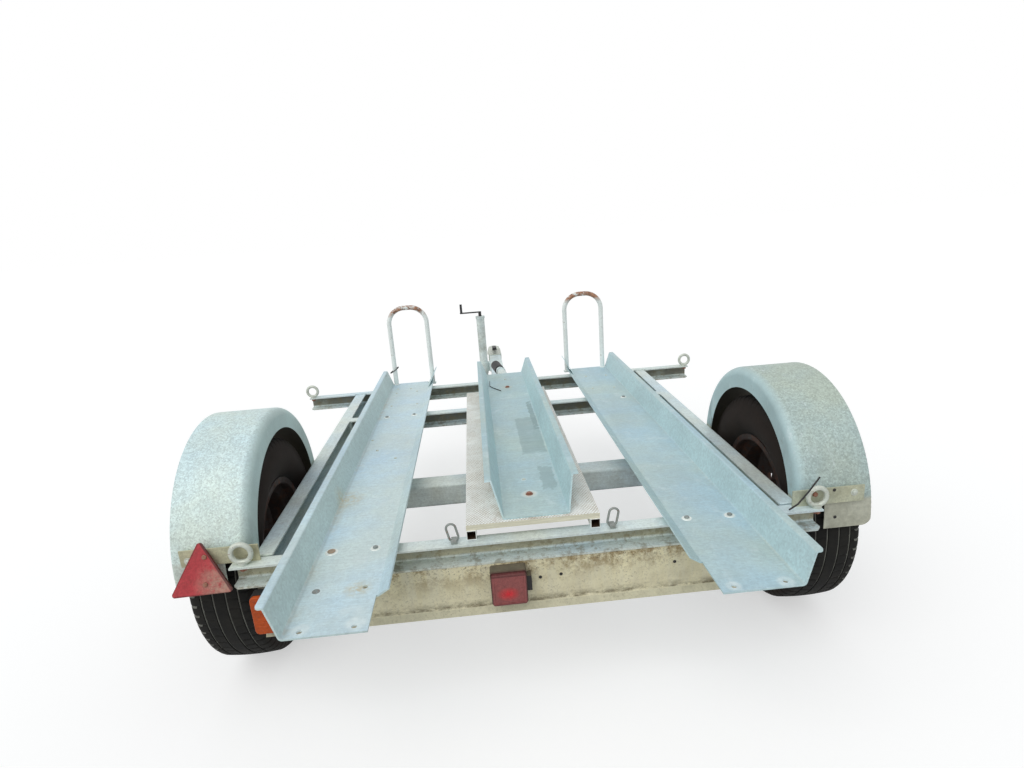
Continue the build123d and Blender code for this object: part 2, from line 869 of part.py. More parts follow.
with BuildPart() as front_tube_cap:
    with BuildSketch(front_tube_plane(front_tube_length)):
        Circle(front_cap_radius)
    extrude(amount=front_cap_length)
save(front_tube_cap.part, "front_tube_cap")


def hoop(side):
    """Bent tube stop for the front wheel, with a tab under the channel for each leg."""
    outer, inner = side * hoop_outer_x, side * hoop_inner_x
    top = deck_height + hoop_height
    y = forward(hoop_forward)
    with BuildPart() as bent:
        with BuildLine() as path:
            FilletPolyline(
                (outer, y, deck_height),
                (outer, y, top),
                (inner, y, top),
                (inner, y, frame_top),
                radius=hoop_bend,
            )
        with BuildSketch(Plane.XY.offset(deck_height)):
            with Locations((outer, y)):
                Circle(hoop_tube_radius)
        sweep(path=path.line)
    return bent.part


for name, side in sides.items():
    save(hoop(side), f"hoop_{name}")

with BuildPart() as hoop_tabs:
    tab_outer = trough_inner + hoop_tab_lap
    tab_inner = hoop_inner_x - hoop_tube_radius - hoop_tab_margin
    for side in sides.values():
        with BuildSketch(Plane.XY.offset(frame_top - hoop_tab_wall)):
            with Locations((side * (tab_outer + tab_inner) / 2, forward(hoop_forward))):
                Rectangle(tab_outer - tab_inner, 2 * (hoop_tube_radius + hoop_tab_margin))
        extrude(amount=hoop_tab_wall)
save(hoop_tabs.part, "hoop_tabs")

with BuildPart() as rear_panel:
    bottom = frame_bottom - panel_drop
    with BuildSketch(Plane.YZ.offset(-panel_half)):
        with BuildLine():
            Polyline(
                (forward(panel_forward + panel_top_flange), frame_bottom),
                (forward(panel_forward), frame_bottom),
                (forward(panel_forward), bottom),
                (forward(panel_forward - panel_lip / 2), bottom - panel_lip),
            )
            offset(amount=panel_wall, side=Side.LEFT, closed=True)
        make_face()
    extrude(amount=2 * panel_half)
save(rear_panel.part, "rear_panel")

fog_top = frame_bottom - fog_top_gap
fog_z = fog_top - fog_size / 2
with BuildPart() as fog_lamp:
    with BuildSketch(across(panel_forward)):
        with Locations((fog_x, fog_z)):
            RectangleRounded(fog_size, fog_size, fog_round)
    extrude(amount=fog_depth - lens_depth)
    with BuildSketch(across(panel_forward)):
        with Locations((fog_x + fog_size / 2, fog_z)):
            Rectangle(fog_ear_width, fog_ear_height, align=(Align.MIN, Align.CENTER))
    extrude(amount=fog_ear_depth)
save(fog_lamp.part, "fog_lamp")

with BuildPart() as fog_lens:
    lens_size = fog_size - 2 * lens_inset
    with BuildSketch(across(panel_forward - fog_depth + lens_depth)):
        with Locations((fog_x, fog_z)):
            RectangleRounded(lens_size, lens_size, fog_round)
    extrude(amount=lens_depth)
    fillet(fog_lens.faces().sort_by(Axis.Y)[0].edges(), lens_edge)
    with BuildSketch(across(panel_forward - fog_depth)):
        with Locations((fog_x, fog_z)):
            RectangleRounded(lens_size - 2 * fog_border, lens_size - 2 * fog_border, fog_round / 2)
    extrude(amount=-fog_recess, mode=Mode.SUBTRACT)
save(fog_lens.part, "fog_lens")

lamp_z = frame_bottom - fog_top_gap - lamp_height / 2
with BuildPart() as rear_lamps:
    for side in sides.values():
        with BuildSketch(across(panel_forward)):
            with Locations((side * (lamp_outer_x - lamp_width / 2), lamp_z)):
                RectangleRounded(lamp_width, lamp_height, lamp_round)
        extrude(amount=lamp_depth - lens_depth)
save(rear_lamps.part, "rear_lamps")


def lamp_lenses(inner_x, outer_x, rounded_x):
    """Lenses of one colour on both rear lamps, with rounded corners at one of their sides."""
    with BuildPart() as lenses:
        for side in sides.values():
            with BuildSketch(across(panel_forward - lamp_depth + lens_depth)) as face:
                with Locations((side * (inner_x + outer_x) / 2, lamp_z)):
                    Rectangle(outer_x - inner_x, lamp_height - 2 * lens_inset)
                corners = face.vertices().filter_by(lambda v: abs(v.X - side * rounded_x) < fit_gap)
                fillet(corners, lamp_round - lens_inset)
            extrude(amount=lens_depth)
        fillet(lenses.faces().filter_by(Axis.Y).group_by(Axis.Y)[0].edges(), lens_edge)
    return lenses.part


lens_outer_x = lamp_outer_x - lens_inset
lens_inner_x = lamp_outer_x - lamp_width + lens_inset
amber_inner_x = lens_outer_x - amber_width
save(lamp_lenses(amber_inner_x, lens_outer_x, lens_outer_x), "amber_lenses")
save(lamp_lenses(lens_inner_x, amber_inner_x, lens_inner_x), "red_lenses")

# The reflector leans forward on the left strap's top edge, with a boss behind its lower screw.
reflector_slope = tan(radians(reflector_lean))
reflector_reach = strap_height - trough_wall - reflector_rise
reflector_back = guard_rear_forward - strap_wall - reflector_reach * reflector_slope
reflector_plane = Plane(
    origin=(reflector_x, forward(reflector_back), deck_height + reflector_rise),
    x_dir=(1, 0, 0),
    z_dir=Vector(0, -1, 0).rotate(Axis.X, -reflector_lean),
)
with BuildPart() as triangle_reflector:
    with BuildSketch(reflector_plane) as plate:
        Triangle(a=reflector_side, b=reflector_side, c=reflector_side, rotation=reflector_turn,
                 align=(Align.CENTER, Align.CENTER))
        fillet(plate.vertices(), reflector_round)
    extrude(amount=reflector_depth)
    with BuildSketch(across(guard_rear_forward)):
        with Locations((reflector_x, deck_height + reflector_rise - reflector_boss_drop)):
            Circle(reflector_boss_radius)
    extrude(until=Until.NEXT)
save(triangle_reflector.part, "triangle_reflector")

with BuildPart() as eye_nuts:
    eye_z = frame_top + eye_collar_height + eye_ring_radius - eye_wire_radius / 2
    for x, distance in (
        (eye_rear_right_x, cross_rear_forward + eye_inset),
        (-eye_rear_left_x, cross_rear_forward + eye_inset),
        (cross_front_half - eye_inset, cross_front_forward + eye_inset),
        (-cross_front_half + eye_inset, cross_front_forward + eye_inset),
    ):
        with BuildSketch(Plane.XY.offset(frame_top)):
            with Locations((x, forward(distance))):
                Circle(eye_collar_radius)
        extrude(amount=eye_collar_height)
        with Locations(Plane(origin=(x, forward(distance), eye_z), z_dir=(0, 1, 0))):
            Torus(eye_ring_radius, eye_wire_radius)
save(eye_nuts.part, "eye_nuts")

with BuildPart() as lashing_rings:
    reach = lash_width / 2 - lash_wire_radius
    span = lash_height - lash_width
    y = forward(lash_forward)
    for x, lean in ((lash_left_x, -lash_lean), (lash_right_x, lash_lean)):
        ring = Plane(
            origin=(x, y, frame_top + lash_width / 2),
            x_dir=Vector(1, 0, 0).rotate(Axis.Y, lean),
            z_dir=(0, -1, 0),
        )
        with BuildLine(ring) as link:
            left = Line((-reach, 0), (-reach, span))
            top = ThreePointArc(left @ 1, (0, span + reach), (reach, span))
            right = Line(top @ 1, (reach, 0))
            ThreePointArc(right @ 1, (0, -reach), left @ 0)
        with BuildSketch(Plane(origin=link.line @ 0, z_dir=link.line % 0)):
            Circle(lash_wire_radius)
        sweep(path=link.line)
        with BuildSketch(Plane.XY.offset(frame_top)):
            with Locations((x, y)):
                Rectangle(lash_clip_width, lash_clip_length)
        extrude(amount=2 * lash_wire_radius + lash_clip_cover)
save(lashing_rings.part, "lashing_rings")
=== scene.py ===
"""Dresses the motorcycle trailer: finishes, tyre tread, fasteners, welds, lamps and small fittings."""

import math

import bmesh
import bpy
import numpy as np
from bpy.props import FloatProperty, FloatVectorProperty, IntProperty, PointerProperty
from mathutils import Matrix, Vector


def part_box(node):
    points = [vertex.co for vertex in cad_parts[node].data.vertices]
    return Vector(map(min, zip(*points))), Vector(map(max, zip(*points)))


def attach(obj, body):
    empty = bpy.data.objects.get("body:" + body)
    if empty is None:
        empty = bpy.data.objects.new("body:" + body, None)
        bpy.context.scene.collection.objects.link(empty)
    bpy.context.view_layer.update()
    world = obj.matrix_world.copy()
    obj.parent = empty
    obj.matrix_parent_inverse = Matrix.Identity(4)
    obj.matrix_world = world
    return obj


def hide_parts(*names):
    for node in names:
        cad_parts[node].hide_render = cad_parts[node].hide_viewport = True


bl_info = {
    "name": "Motorcycle Trailer",
    "version": (1, 0, 0),
    "blender": (4, 5, 0),
    "location": "View3D > Sidebar > Trailer",
    "description": "Finishes and fittings of an open motorcycle trailer",
    "category": "Object",
}

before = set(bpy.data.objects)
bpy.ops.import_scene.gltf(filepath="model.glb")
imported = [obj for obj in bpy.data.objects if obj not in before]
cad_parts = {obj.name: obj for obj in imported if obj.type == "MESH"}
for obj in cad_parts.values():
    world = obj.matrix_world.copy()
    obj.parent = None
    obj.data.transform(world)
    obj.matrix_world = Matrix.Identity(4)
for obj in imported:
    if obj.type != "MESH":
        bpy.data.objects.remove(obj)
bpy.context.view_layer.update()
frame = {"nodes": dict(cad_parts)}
NODES = frame["nodes"]

# Places that everything else is measured from, in metres.
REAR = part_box("trough_left")[0].y
FRAME_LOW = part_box("cross_member_rear")[0].z
FRAME_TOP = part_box("cross_member_rear")[1].z
CHANNEL_WALL = 0.004
DECK = FRAME_TOP + CHANNEL_WALL
CENTRE_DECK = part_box("board")[1].z + CHANNEL_WALL
STRAP_LOW, STRAP_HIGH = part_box("mudguard_straps")
LEFT_WHEEL = sum(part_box("tyre_left"), Vector()) / 2
RIGHT_WHEEL = sum(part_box("tyre_right"), Vector()) / 2
CHANNEL_FOLD = 0.541
UP = Vector((0, 0, 1))
BACK = Vector((0, -1, 0))

# The triangular reflector leans forward, so its face and its way up are turned.
LEAN = math.radians(20)
PLATE_OUT = Vector((0, -math.cos(LEAN), math.sin(LEAN)))
PLATE_UP = Vector((0, math.sin(LEAN), math.cos(LEAN)))
PLATE_LOW, PLATE_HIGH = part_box("triangle_reflector")
PLATE_MIDDLE = Vector(((PLATE_LOW.x + PLATE_HIGH.x) / 2, PLATE_LOW.y + 0.0156, PLATE_LOW.z + 0.0455))

# Bolts and plugs on the outer channels' floors: x, and the distance ahead of their rear ends.
CHANNEL_SPOTS = {
    "plain": [(-0.400, 0.321), (-0.395, 1.390), (-0.509, 1.385), (0.403, 0.316), (0.514, 0.310),
              (0.504, 1.377)],
    "rusty": [(-0.511, 0.323)],
    "plug": [(-0.510, 0.156)],
    "cover": [(0.399, 0.155)],
    "small": [(-0.447, 1.811), (-0.511, 1.821), (-0.510, 1.747), (-0.413, 1.756), (-0.395, 1.545),
              (-0.509, 1.543), (-0.419, 0.917), (-0.529, 1.117), (-0.495, 1.006),
              (0.500, 1.533), (0.404, 1.545), (0.413, 1.756), (0.510, 1.747)],
}


def ahead(distance):
    """Y of a place that lies this far in front of the channels' rear ends."""
    return REAR + distance


def on_deck(x, distance):
    """Place on top of an outer channel's floor."""
    return (x, ahead(distance), DECK)


def on_centre(x, distance):
    """Place on top of the centre channel's floor."""
    return (x, ahead(distance), CENTRE_DECK)


def on_plate(x, rise):
    """Place on the reflector's face: its x, and how far up the plate it is from the middle."""
    return Vector((x, PLATE_MIDDLE.y, PLATE_MIDDLE.z)) + PLATE_UP * rise


def linear(red, green, blue):
    """Screen colour from 0 to 255 as a linear colour."""
    return tuple((v / 255 / 12.92 if v <= 10 else ((v / 255 + 0.055) / 1.055) ** 2.4)
                 for v in (red, green, blue))


def toned(base, *factors):
    """Colour times one factor, or times one for each channel."""
    return tuple(v * k for v, k in zip(base, factors if len(factors) == 3 else factors * 3))


def colour(label, value, note):
    """Colour property of the panel."""
    return FloatVectorProperty(name=label, description=note, subtype="COLOR", size=3,
                               min=0, max=1, default=value)


def length(label, value, note):
    """Length property of the panel, in metres."""
    return FloatProperty(name=label, description=note, default=value, min=0, unit="LENGTH",
                         subtype="DISTANCE", precision=4)


class TrailerFinish(bpy.types.PropertyGroup):
    """Colours of the trailer's surfaces."""

    channel: colour("Channel zinc", linear(199, 219, 228), "Zinc of the motorcycle channels")
    centre: colour("Centre zinc", linear(177, 201, 206), "Zinc of the centre channel")
    guard_left: colour("Left mudguard", linear(208, 226, 228), "Zinc of the left mudguard")
    # Painted shade: the right mudguard's zinc is darker than the left one's, as that side lies in shade.
    guard_right_shaded: colour("Right mudguard", linear(178, 194, 191), "Zinc of the right mudguard")
    frame: colour("Frame zinc", linear(217, 229, 231), "Zinc of rails, members and beam")
    grime: colour("Grime", linear(96, 94, 74), "Brown-green dirt and lichen")
    rust: colour("Rust", linear(134, 86, 62), "Rust on iron and round bolts")
    panel: colour("Rear panel", linear(230, 222, 186), "Cream of the rear panel")
    board: colour("Board", linear(244, 247, 244), "Cream of the anti-slip board")
    paint: colour("Hoop paint", linear(238, 243, 240), "White of the front hoops")
    rubber: colour("Tyre", linear(25, 25, 24), "Rubber of the tyres")
    amber_lens: colour("Amber lens", linear(178, 72, 12), "Amber of the indicator lenses")
    triangle: colour("Triangle", linear(176, 58, 64), "Red of the triangular reflector")
    black: colour("Black plastic", linear(30, 30, 31), "Lamp housings, ties and grips")


class TrailerSizes(bpy.types.PropertyGroup):
    """Sizes of the fittings that are added to the frame."""

    rivet: length("Rivet radius", 0.0055, "Rivets of straps and reflector")
    weld: length("Weld radius", 0.0035, "Half width of a weld bead")
    groove: length("Groove depth", 0.0030, "Depth of the tyre's long grooves")
    groove_width: length("Groove width", 0.0055, "Width of the tyre's long grooves")
    tie: length("Tie width", 0.0045, "Width of the cable ties")
    sipes: IntProperty(name="Sipes", description="Cuts across each shoulder of a tyre",
                       default=66, min=12, max=120)
    seed: IntProperty(name="Seed", description="Seed for turned bolt heads and uneven welds", default=7)


class TrailerStage(bpy.types.PropertyGroup):
    """Floor, light and camera."""

    floor: colour("Floor", (0.42, 0.42, 0.41), "Colour that the floor throws back on the trailer")
    backdrop: FloatProperty(name="Backdrop", description="Brightness of the seen floor without its shading",
                            default=0.50, min=0, max=1)
    sky: FloatProperty(name="Sky light", description="Strength of the even light", default=0.62, min=0)
    sun: FloatProperty(name="Soft sun", description="Strength of the soft light from the upper left",
                       default=1.25, min=0)
    spread: FloatProperty(name="Sun spread", description="Angle over which the soft light is spread",
                          default=math.radians(65), min=0, max=math.pi, subtype="ANGLE")
    focal: FloatProperty(name="Focal length", description="Lens for a frame 36 mm wide, in millimetres",
                         default=21.094, min=1)


def tone(name):
    """A colour from the panel."""
    return tuple(getattr(bpy.context.scene.trailer_finish, name))


def size_values():
    """Sizes from the panel."""
    return bpy.context.scene.trailer_sizes


def emptied(owner):
    """Node tree of a material or world, without nodes."""
    owner.use_nodes = True
    owner.node_tree.nodes.clear()
    return owner.node_tree


def add_node(tree, kind, inputs, output=0, **settings):
    """New node with its settings, each input linked or set; gives one of its outputs."""
    made = tree.nodes.new(kind)
    for key, value in settings.items():
        setattr(made, key, value)
    for key, given in inputs.items():
        for one in given if isinstance(given, list) else [given]:
            if isinstance(one, bpy.types.NodeSocket):
                tree.links.new(one, made.inputs[key])
            else:
                made.inputs[key].default_value = one
    return made.outputs[output] if len(made.outputs) else None


class Finish:
    """One procedural material, read on the object's own coordinates."""

    def __init__(self, name, roughness, metallic=0.0, coat=0.0, specular=0.5):
        self.material = bpy.data.materials.new(name)
        self.tree = emptied(self.material)
        self.shader = self.tree.nodes.new("ShaderNodeBsdfPrincipled")
        for key, value in (("Roughness", roughness), ("Metallic", metallic), ("Coat Weight", coat),
                           ("Specular IOR Level", specular)):
            self.shader.inputs[key].default_value = value
        self.node("OutputMaterial", {"Surface": self.shader.outputs[0]})
        self.place = self.node("TexCoord", {}, "Object")
        self.normal = self.node("NewGeometry", {}, "Normal")

    def node(self, kind, inputs, output=0, **settings):
        """New shader node; gives one of its outputs."""
        return add_node(self.tree, "ShaderNode" + kind, inputs, output, **settings)

    def vector(self, operation, first, second=(0, 0, 0)):
        """Two vectors put together; a number for their dot product or distance."""
        output = "Value" if operation in ("DOT_PRODUCT", "DISTANCE") else "Vector"
        return self.node("VectorMath", {0: first, 1: second}, output, operation=operation)

    def stretched(self, stretch=(1, 1, 1), shift=(0, 0, 0), turn=0.0):
        """The place, scaled along each axis, turned about Z and shifted."""
        return self.node("Mapping", {"Vector": self.place, "Scale": stretch, "Location": shift,
                                     "Rotation": (0, 0, turn)})

    def noise(self, scale, detail=3.0, rough=0.55, stretch=(1, 1, 1), shift=(0, 0, 0)):
        """Cloudy value from 0 to 1."""
        return self.node("TexNoise", {"Vector": self.stretched(stretch, shift), "Scale": scale,
                                      "Detail": detail, "Roughness": rough}, "Fac")

    def blots(self, low, high, *noise, **placing):
        """Noise cut to the span between two of its values."""
        return self.spread(self.noise(*noise, **placing), low, high)

    def cells(self, scale, stretch=(1, 1, 1)):
        """A random value for each cell, as the crystals of a zinc coat."""
        tint = self.node("TexVoronoi", {"Vector": self.stretched(stretch), "Scale": scale}, "Color",
                         feature="F1")
        return self.node("SeparateColor", {0: tint})

    def spread(self, value, low, high, to_low=0.0, to_high=1.0):
        """Value moved from one range to another and held inside it."""
        return self.node("MapRange", {0: value, 1: low, 2: high, 3: to_low, 4: to_high}, clamp=True)

    def sum(self, operation, first, second=0.0):
        """Two values put together."""
        return self.node("Math", {0: first, 1: second}, operation=operation, use_clamp=operation == "ADD")

    def times(self, first, *more):
        """Values multiplied together."""
        for value in more:
            first = self.sum("MULTIPLY", first, value)
        return first

    def mix(self, first, second, factor):
        """Blend of two colours."""
        pair = [(*c, 1) if isinstance(c, (tuple, list)) and len(c) == 3 else c for c in (first, second)]
        return self.node("Mix", {0: factor, 6: pair[0], 7: pair[1]}, 2, data_type="RGBA")

    def tint(self, base, other, *factors):
        """Base colour blended to another one where all the factors are high."""
        return self.mix(base, other, self.times(*factors))

    def shade(self, base, value, amount):
        """Base colour made lighter and darker by a value from 0 to 1."""
        scale = self.spread(value, 0.0, 1.0, 1.0 - amount, 1.0 + amount)
        plain = base if isinstance(base, bpy.types.NodeSocket) else tuple(base[:3])
        return self.node("VectorMath", {0: plain, 3: scale}, operation="SCALE")

    def axis(self, which):
        """One coordinate of the place."""
        return self.node("SeparateXYZ", {0: self.place}, which)

    def height(self, low, high, to_low=0.0, to_high=1.0):
        """How far up between two heights the place is."""
        return self.spread(self.axis(2), low, high, to_low, to_high)

    def away(self, value, middle):
        """Distance of a value from its middle."""
        return self.sum("ABSOLUTE", self.sum("SUBTRACT", value, middle))

    def facing(self, direction, low, high, to_low=0.0, to_high=1.0):
        """Mask of the faces that look in a direction."""
        return self.spread(self.vector("DOT_PRODUCT", self.normal, direction), low, high, to_low, to_high)

    def spot(self, centre, radius, soft, stretch=(1, 1, 1)):
        """Mask of a round patch: 1 inside, 0 beyond its soft edge."""
        there = tuple(c * s for c, s in zip(centre, stretch))
        away = self.vector("DISTANCE", self.stretched(stretch), there)
        return self.spread(away, radius - soft, radius + soft, 1.0, 0.0)

    def patch(self, centre, half, rough_edge):
        """1 inside a rectangle on a level floor, with edges that the noise eats into."""
        off = self.vector("SUBTRACT", self.place, centre)
        share = self.vector("ABSOLUTE", self.vector("MULTIPLY", off, (1 / half[0], 1 / half[1], 0)))
        sides = [self.node("SeparateXYZ", {0: share}, which) for which in (0, 1)]
        edge = self.times(self.sum("SUBTRACT", self.noise(55, 6, 0.75), 0.5), rough_edge)
        return self.spread(self.sum("ADD", self.sum("MAXIMUM", *sides), edge), 0.90, 0.99, 1.0, 0.0)

    def done(self, base, *bumps, rough=None):
        """Finished material: its colour, its bumps (each a value and a depth in metres), its roughness."""
        self.tree.links.new(base, self.shader.inputs["Base Color"])
        if rough:
            self.tree.links.new(rough, self.shader.inputs["Roughness"])
        normal = {}
        for value, depth in bumps:
            bump = {"Height": value, "Distance": depth, "Strength": 1.0, **normal}
            normal = {"Normal": self.node("Bump", bump)}
        for socket in normal.values():
            self.tree.links.new(socket, self.shader.inputs["Normal"])
        return self.material


def zinc_base(finish, zinc, spangle, brush=(0.07, 1, 1), cloudy=0.20, grain=170):
    """Weathered zinc: crystals, cloudy patches, fine brush lines and a drift between blue and grey."""
    crystals = finish.cells(grain)
    cloud = finish.noise(5, 6, 0.62)
    lines = finish.noise(260, 3, 0.6, brush)
    speck = finish.noise(520, 2, 0.8)
    drift = finish.blots(0.36, 0.64, 3.1, 4, 0.6, shift=(8, 3, 5))
    base = finish.mix(toned(zinc, 1.04, 1.0, 0.91), toned(zinc, 0.92, 0.98, 1.03), drift)
    for value, amount in ((cloud, cloudy), (crystals, spangle), (lines, 0.18), (speck, 0.16)):
        base = finish.shade(base, value, amount)
    return base, crystals, cloud, lines


def channel_zinc(name, zinc, wall, side=0, marks=(), rust_marks=(), patches=()):
    """Zinc of a motorcycle channel, with pale marks round holes and rust under bolts."""
    finish = Finish(name, 0.46, 0.22)
    base, crystals, cloud, lines = zinc_base(finish, zinc, 0.06)
    ragged = finish.blots(0.35, 0.62, 75, 5, 0.7)
    streaks = finish.blots(0.50, 0.68, 12, 6, 0.7, (1.6, 0.3, 1), (3, 1, 0))
    base = finish.tint(base, toned(zinc, 0.72, 0.77, 0.77), streaks, 0.34)
    base = finish.tint(base, linear(216, 228, 230), finish.blots(0.56, 0.70, 13, 6, 0.7, shift=(6, 2, 4)),
                       0.45)
    if side:
        fold = finish.away(finish.axis(0), side * CHANNEL_FOLD)
        along = finish.blots(0.45, 0.62, 7, 4, 0.6, (0.2, 1, 1))
        near = finish.spread(fold, 0.0, 0.024, 1.0, 0.0)
        base = finish.tint(base, linear(186, 172, 138), near, along, ragged, 0.5 if side < 0 else 0.15)
        # Painted shade: a darker line along the fold between floor and wall.
        painted_crease_shade = finish.spread(fold, 0.002, 0.007, 1.0, 0.0)
        base = finish.tint(base, linear(132, 146, 144), painted_crease_shade, 0.3 if side < 0 else 0.08)
    # Painted light and shade: the upright walls get their own copy of the zinc, darker on the left channel
    # and lighter on the right and centre ones.
    wall_light_and_shade = finish.shade(toned(zinc, *wall), cloud, 0.25)
    wall_light_and_shade = finish.shade(finish.shade(wall_light_and_shade, crystals, 0.08), finish.noise(60, 5, 0.7, (1, 0.4, 1)), 0.12)
    base = finish.mix(base, wall_light_and_shade, finish.facing((0, 0, 1), 0.45, 0.75, 1.0, 0.0))
    worn = finish.spread(ragged, 0.0, 1.0, 0.35, 1.0)
    for place, radius in marks:
        base = finish.tint(base, linear(222, 234, 235), finish.spot(place, radius, radius * 0.22), worn,
                           0.72)
    for place, radius in rust_marks:
        base = finish.tint(base, linear(196, 178, 130), finish.spot(place, radius, radius * 0.7), ragged,
                           0.7)
    dull = finish.shade(toned(zinc, 0.54, 0.58, 0.56), lines, 0.25)
    for place, half, rough_edge, strength in patches:
        base = finish.tint(base, dull, finish.patch(place, half, rough_edge), strength)
    base = finish.tint(base, tone("grime"), finish.blots(0.70, 0.74, 190, 3, 0.7, shift=(2, 9, 1)), 0.5)
    return finish.done(base, (crystals, 0.00005), (lines, 0.0001), (finish.noise(9, 2), 0.0009),
                       rough=finish.spread(cloud, 0.3, 0.7, 0.40, 0.60))


def guard_zinc(name, zinc, skirt_light_and_shade, dirt, node, side):
    """Spangled zinc of a mudguard, dirty at the foot, with painted shade, dark olive, on its inside."""
    finish = Finish(name, 0.55, 0.15)
    base, crystals, cloud, _ = zinc_base(finish, zinc, 0.17, (1, 1, 0.5), 0.10, 250)
    base = finish.shade(base, finish.noise(430, 2, 0.85), 0.34)
    low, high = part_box(node)
    outward = finish.times(finish.axis(0), side)
    skirt = finish.spread(outward, 0.722, 0.742, 1.0, 0.0)
    # Partly greyer zinc, partly painted light and shade: the skirt gets its own copy of the zinc, darker on
    # the left mudguard and lighter on the right one.
    base = finish.tint(base, finish.shade(toned(zinc, *skirt_light_and_shade), cloud, 0.35), skirt, 0.85)
    scuff = finish.blots(0.58, 0.66, 26, 6, 0.75, (2, 1, 0.4), (4, 4, 1))
    base = finish.tint(base, linear(214, 226, 228), scuff, finish.spread(outward, 0.80, 0.88, 1.0, 0.0),
                       dirt * 0.8)
    drip = finish.blots(0.50, 0.62, 9, 6, 0.7, (1, 1, 0.35), (1, 8, 2))
    base = finish.tint(base, linear(86, 90, 98), drip, skirt,
                       finish.height(DECK + 0.02, DECK + 0.14, 1.0, 0.0), dirt)
    beige = finish.height(DECK - 0.006, DECK + 0.004, 1.0, 0.0)
    base = finish.tint(base, finish.shade(linear(186, 184, 166), finish.noise(60, 6, 0.75), 0.5), beige,
                       min(1.0, dirt * 1.1))
    base = finish.tint(base, tone("grime"), finish.blots(0.46, 0.74, 8, 6, 0.7, shift=(5, 2, 9)),
                       finish.height(low.z, FRAME_TOP + 0.16, 1.0, 0.12), dirt)
    base = finish.tint(base, linear(138, 142, 130), finish.blots(0.63, 0.70, 28, 6, 0.78), dirt * 0.55)
    # The inside is where the surface faces the wheel's axis, and the skirt's face towards the wheel; it gets
    # painted shade.
    arm = finish.vector("SUBTRACT", finish.place, (0, (low.y + high.y) / 2, high.z - (high.y - low.y) / 2))
    turned = finish.vector("DOT_PRODUCT", finish.vector("MULTIPLY", arm, (0, 4, 4)), finish.normal)
    shaded_inner_skirt = finish.times(finish.facing((side, 0, 0), 0.4, 0.6),
                               finish.spread(outward, 0.728, 0.732, 1.0, 0.0))
    inside = finish.sum("MAXIMUM", finish.spread(turned, -0.3, -0.1, 1.0, 0.0), shaded_inner_skirt)
    # Painted shade: the inside of the mudguard is made dark olive.
    base = finish.mix(base, finish.shade(linear(52, 48, 34), finish.noise(24, 5, 0.7), 0.8), inside)
    return finish.done(base, (crystals, 0.0001), (finish.noise(11, 2), 0.0012),
                       rough=finish.spread(cloud, 0.3, 0.7, 0.48, 0.68))


def frame_zinc(name, zinc, dirt, brush=(1, 0.07, 1)):
    """Zinc of the frame: pale on top, dirtier on upright faces, with painted shade on faces that look down.
    """
    finish = Finish(name, 0.5, 0.22)
    base, crystals, cloud, lines = zinc_base(finish, zinc, 0.08, brush)
    base = finish.tint(base, tone("grime"), finish.blots(0.42, 0.68, 16, 7, 0.72, shift=(1, 7, 3)),
                       finish.facing((0, 0, 1), 0.3, 0.7, 1.0, 0.25), dirt)
    base = finish.tint(base, linear(170, 170, 144), finish.blots(0.62, 0.68, 95, 4, 0.7), dirt * 0.5)
    # Painted shade: faces that look down are made darker.
    base = finish.tint(base, toned(tone("grime"), 0.5), finish.facing((0, 0, -1), 0.5, 0.8), 0.4)
    return finish.done(base, (crystals, 0.00008), (lines, 0.0001), (finish.noise(120, 4), 0.0002),
                       rough=finish.spread(cloud, 0.3, 0.7, 0.45, 0.68))


def member_zinc(name, dirt, upper, lower):
    """Zinc of a cross member: pale flanges, and a web of lichen and dirt with painted shade, darker towards
    its top under the top flange.
    """
    finish = Finish(name, 0.55, 0.15)
    base, crystals, cloud, _ = zinc_base(finish, tone("frame"), 0.08)
    # Partly lichen and dirt, partly painted shade: the web is darker towards its top, under the top flange.
    web_dirt_and_shade = finish.mix(lower, upper, finish.height(FRAME_LOW + 0.004, FRAME_TOP - 0.006))
    web_dirt_and_shade = finish.shade(web_dirt_and_shade, finish.noise(42, 6, 0.75, (0.5, 1, 1)), 0.75)
    web_dirt_and_shade = finish.tint(web_dirt_and_shade, linear(160, 166, 152), finish.blots(0.52, 0.66, 9, 5, 0.7, (1, 1, 2)), 0.6)
    low_edge = finish.height(FRAME_LOW + 0.010, FRAME_LOW + 0.022, 0.05, 0.0)
    specks = finish.spread(finish.sum("ADD", finish.noise(210, 4, 0.8), low_edge), 0.62, 0.67)
    web_dirt_and_shade = finish.tint(web_dirt_and_shade, linear(74, 66, 50), specks, 0.7)
    base = finish.tint(base, web_dirt_and_shade, finish.facing((0, 0, 1), 0.3, 0.7, 1.0, 0.0),
                       finish.height(FRAME_TOP - 0.010, FRAME_TOP - 0.007, 1.0, 0.15),
                       finish.height(FRAME_LOW + 0.009, FRAME_LOW + 0.012, 0.35, 1.0), dirt)
    base = finish.tint(base, linear(128, 116, 84),
                       finish.height(FRAME_TOP - 0.012, FRAME_TOP - 0.006, 1.0, 0.0),
                       finish.blots(0.50, 0.60, 30, 6, 0.75), dirt * 0.6)
    return finish.done(base, (crystals, 0.00008), (finish.noise(120, 5), 0.0004),
                       rough=finish.spread(cloud, 0.3, 0.7, 0.5, 0.72))


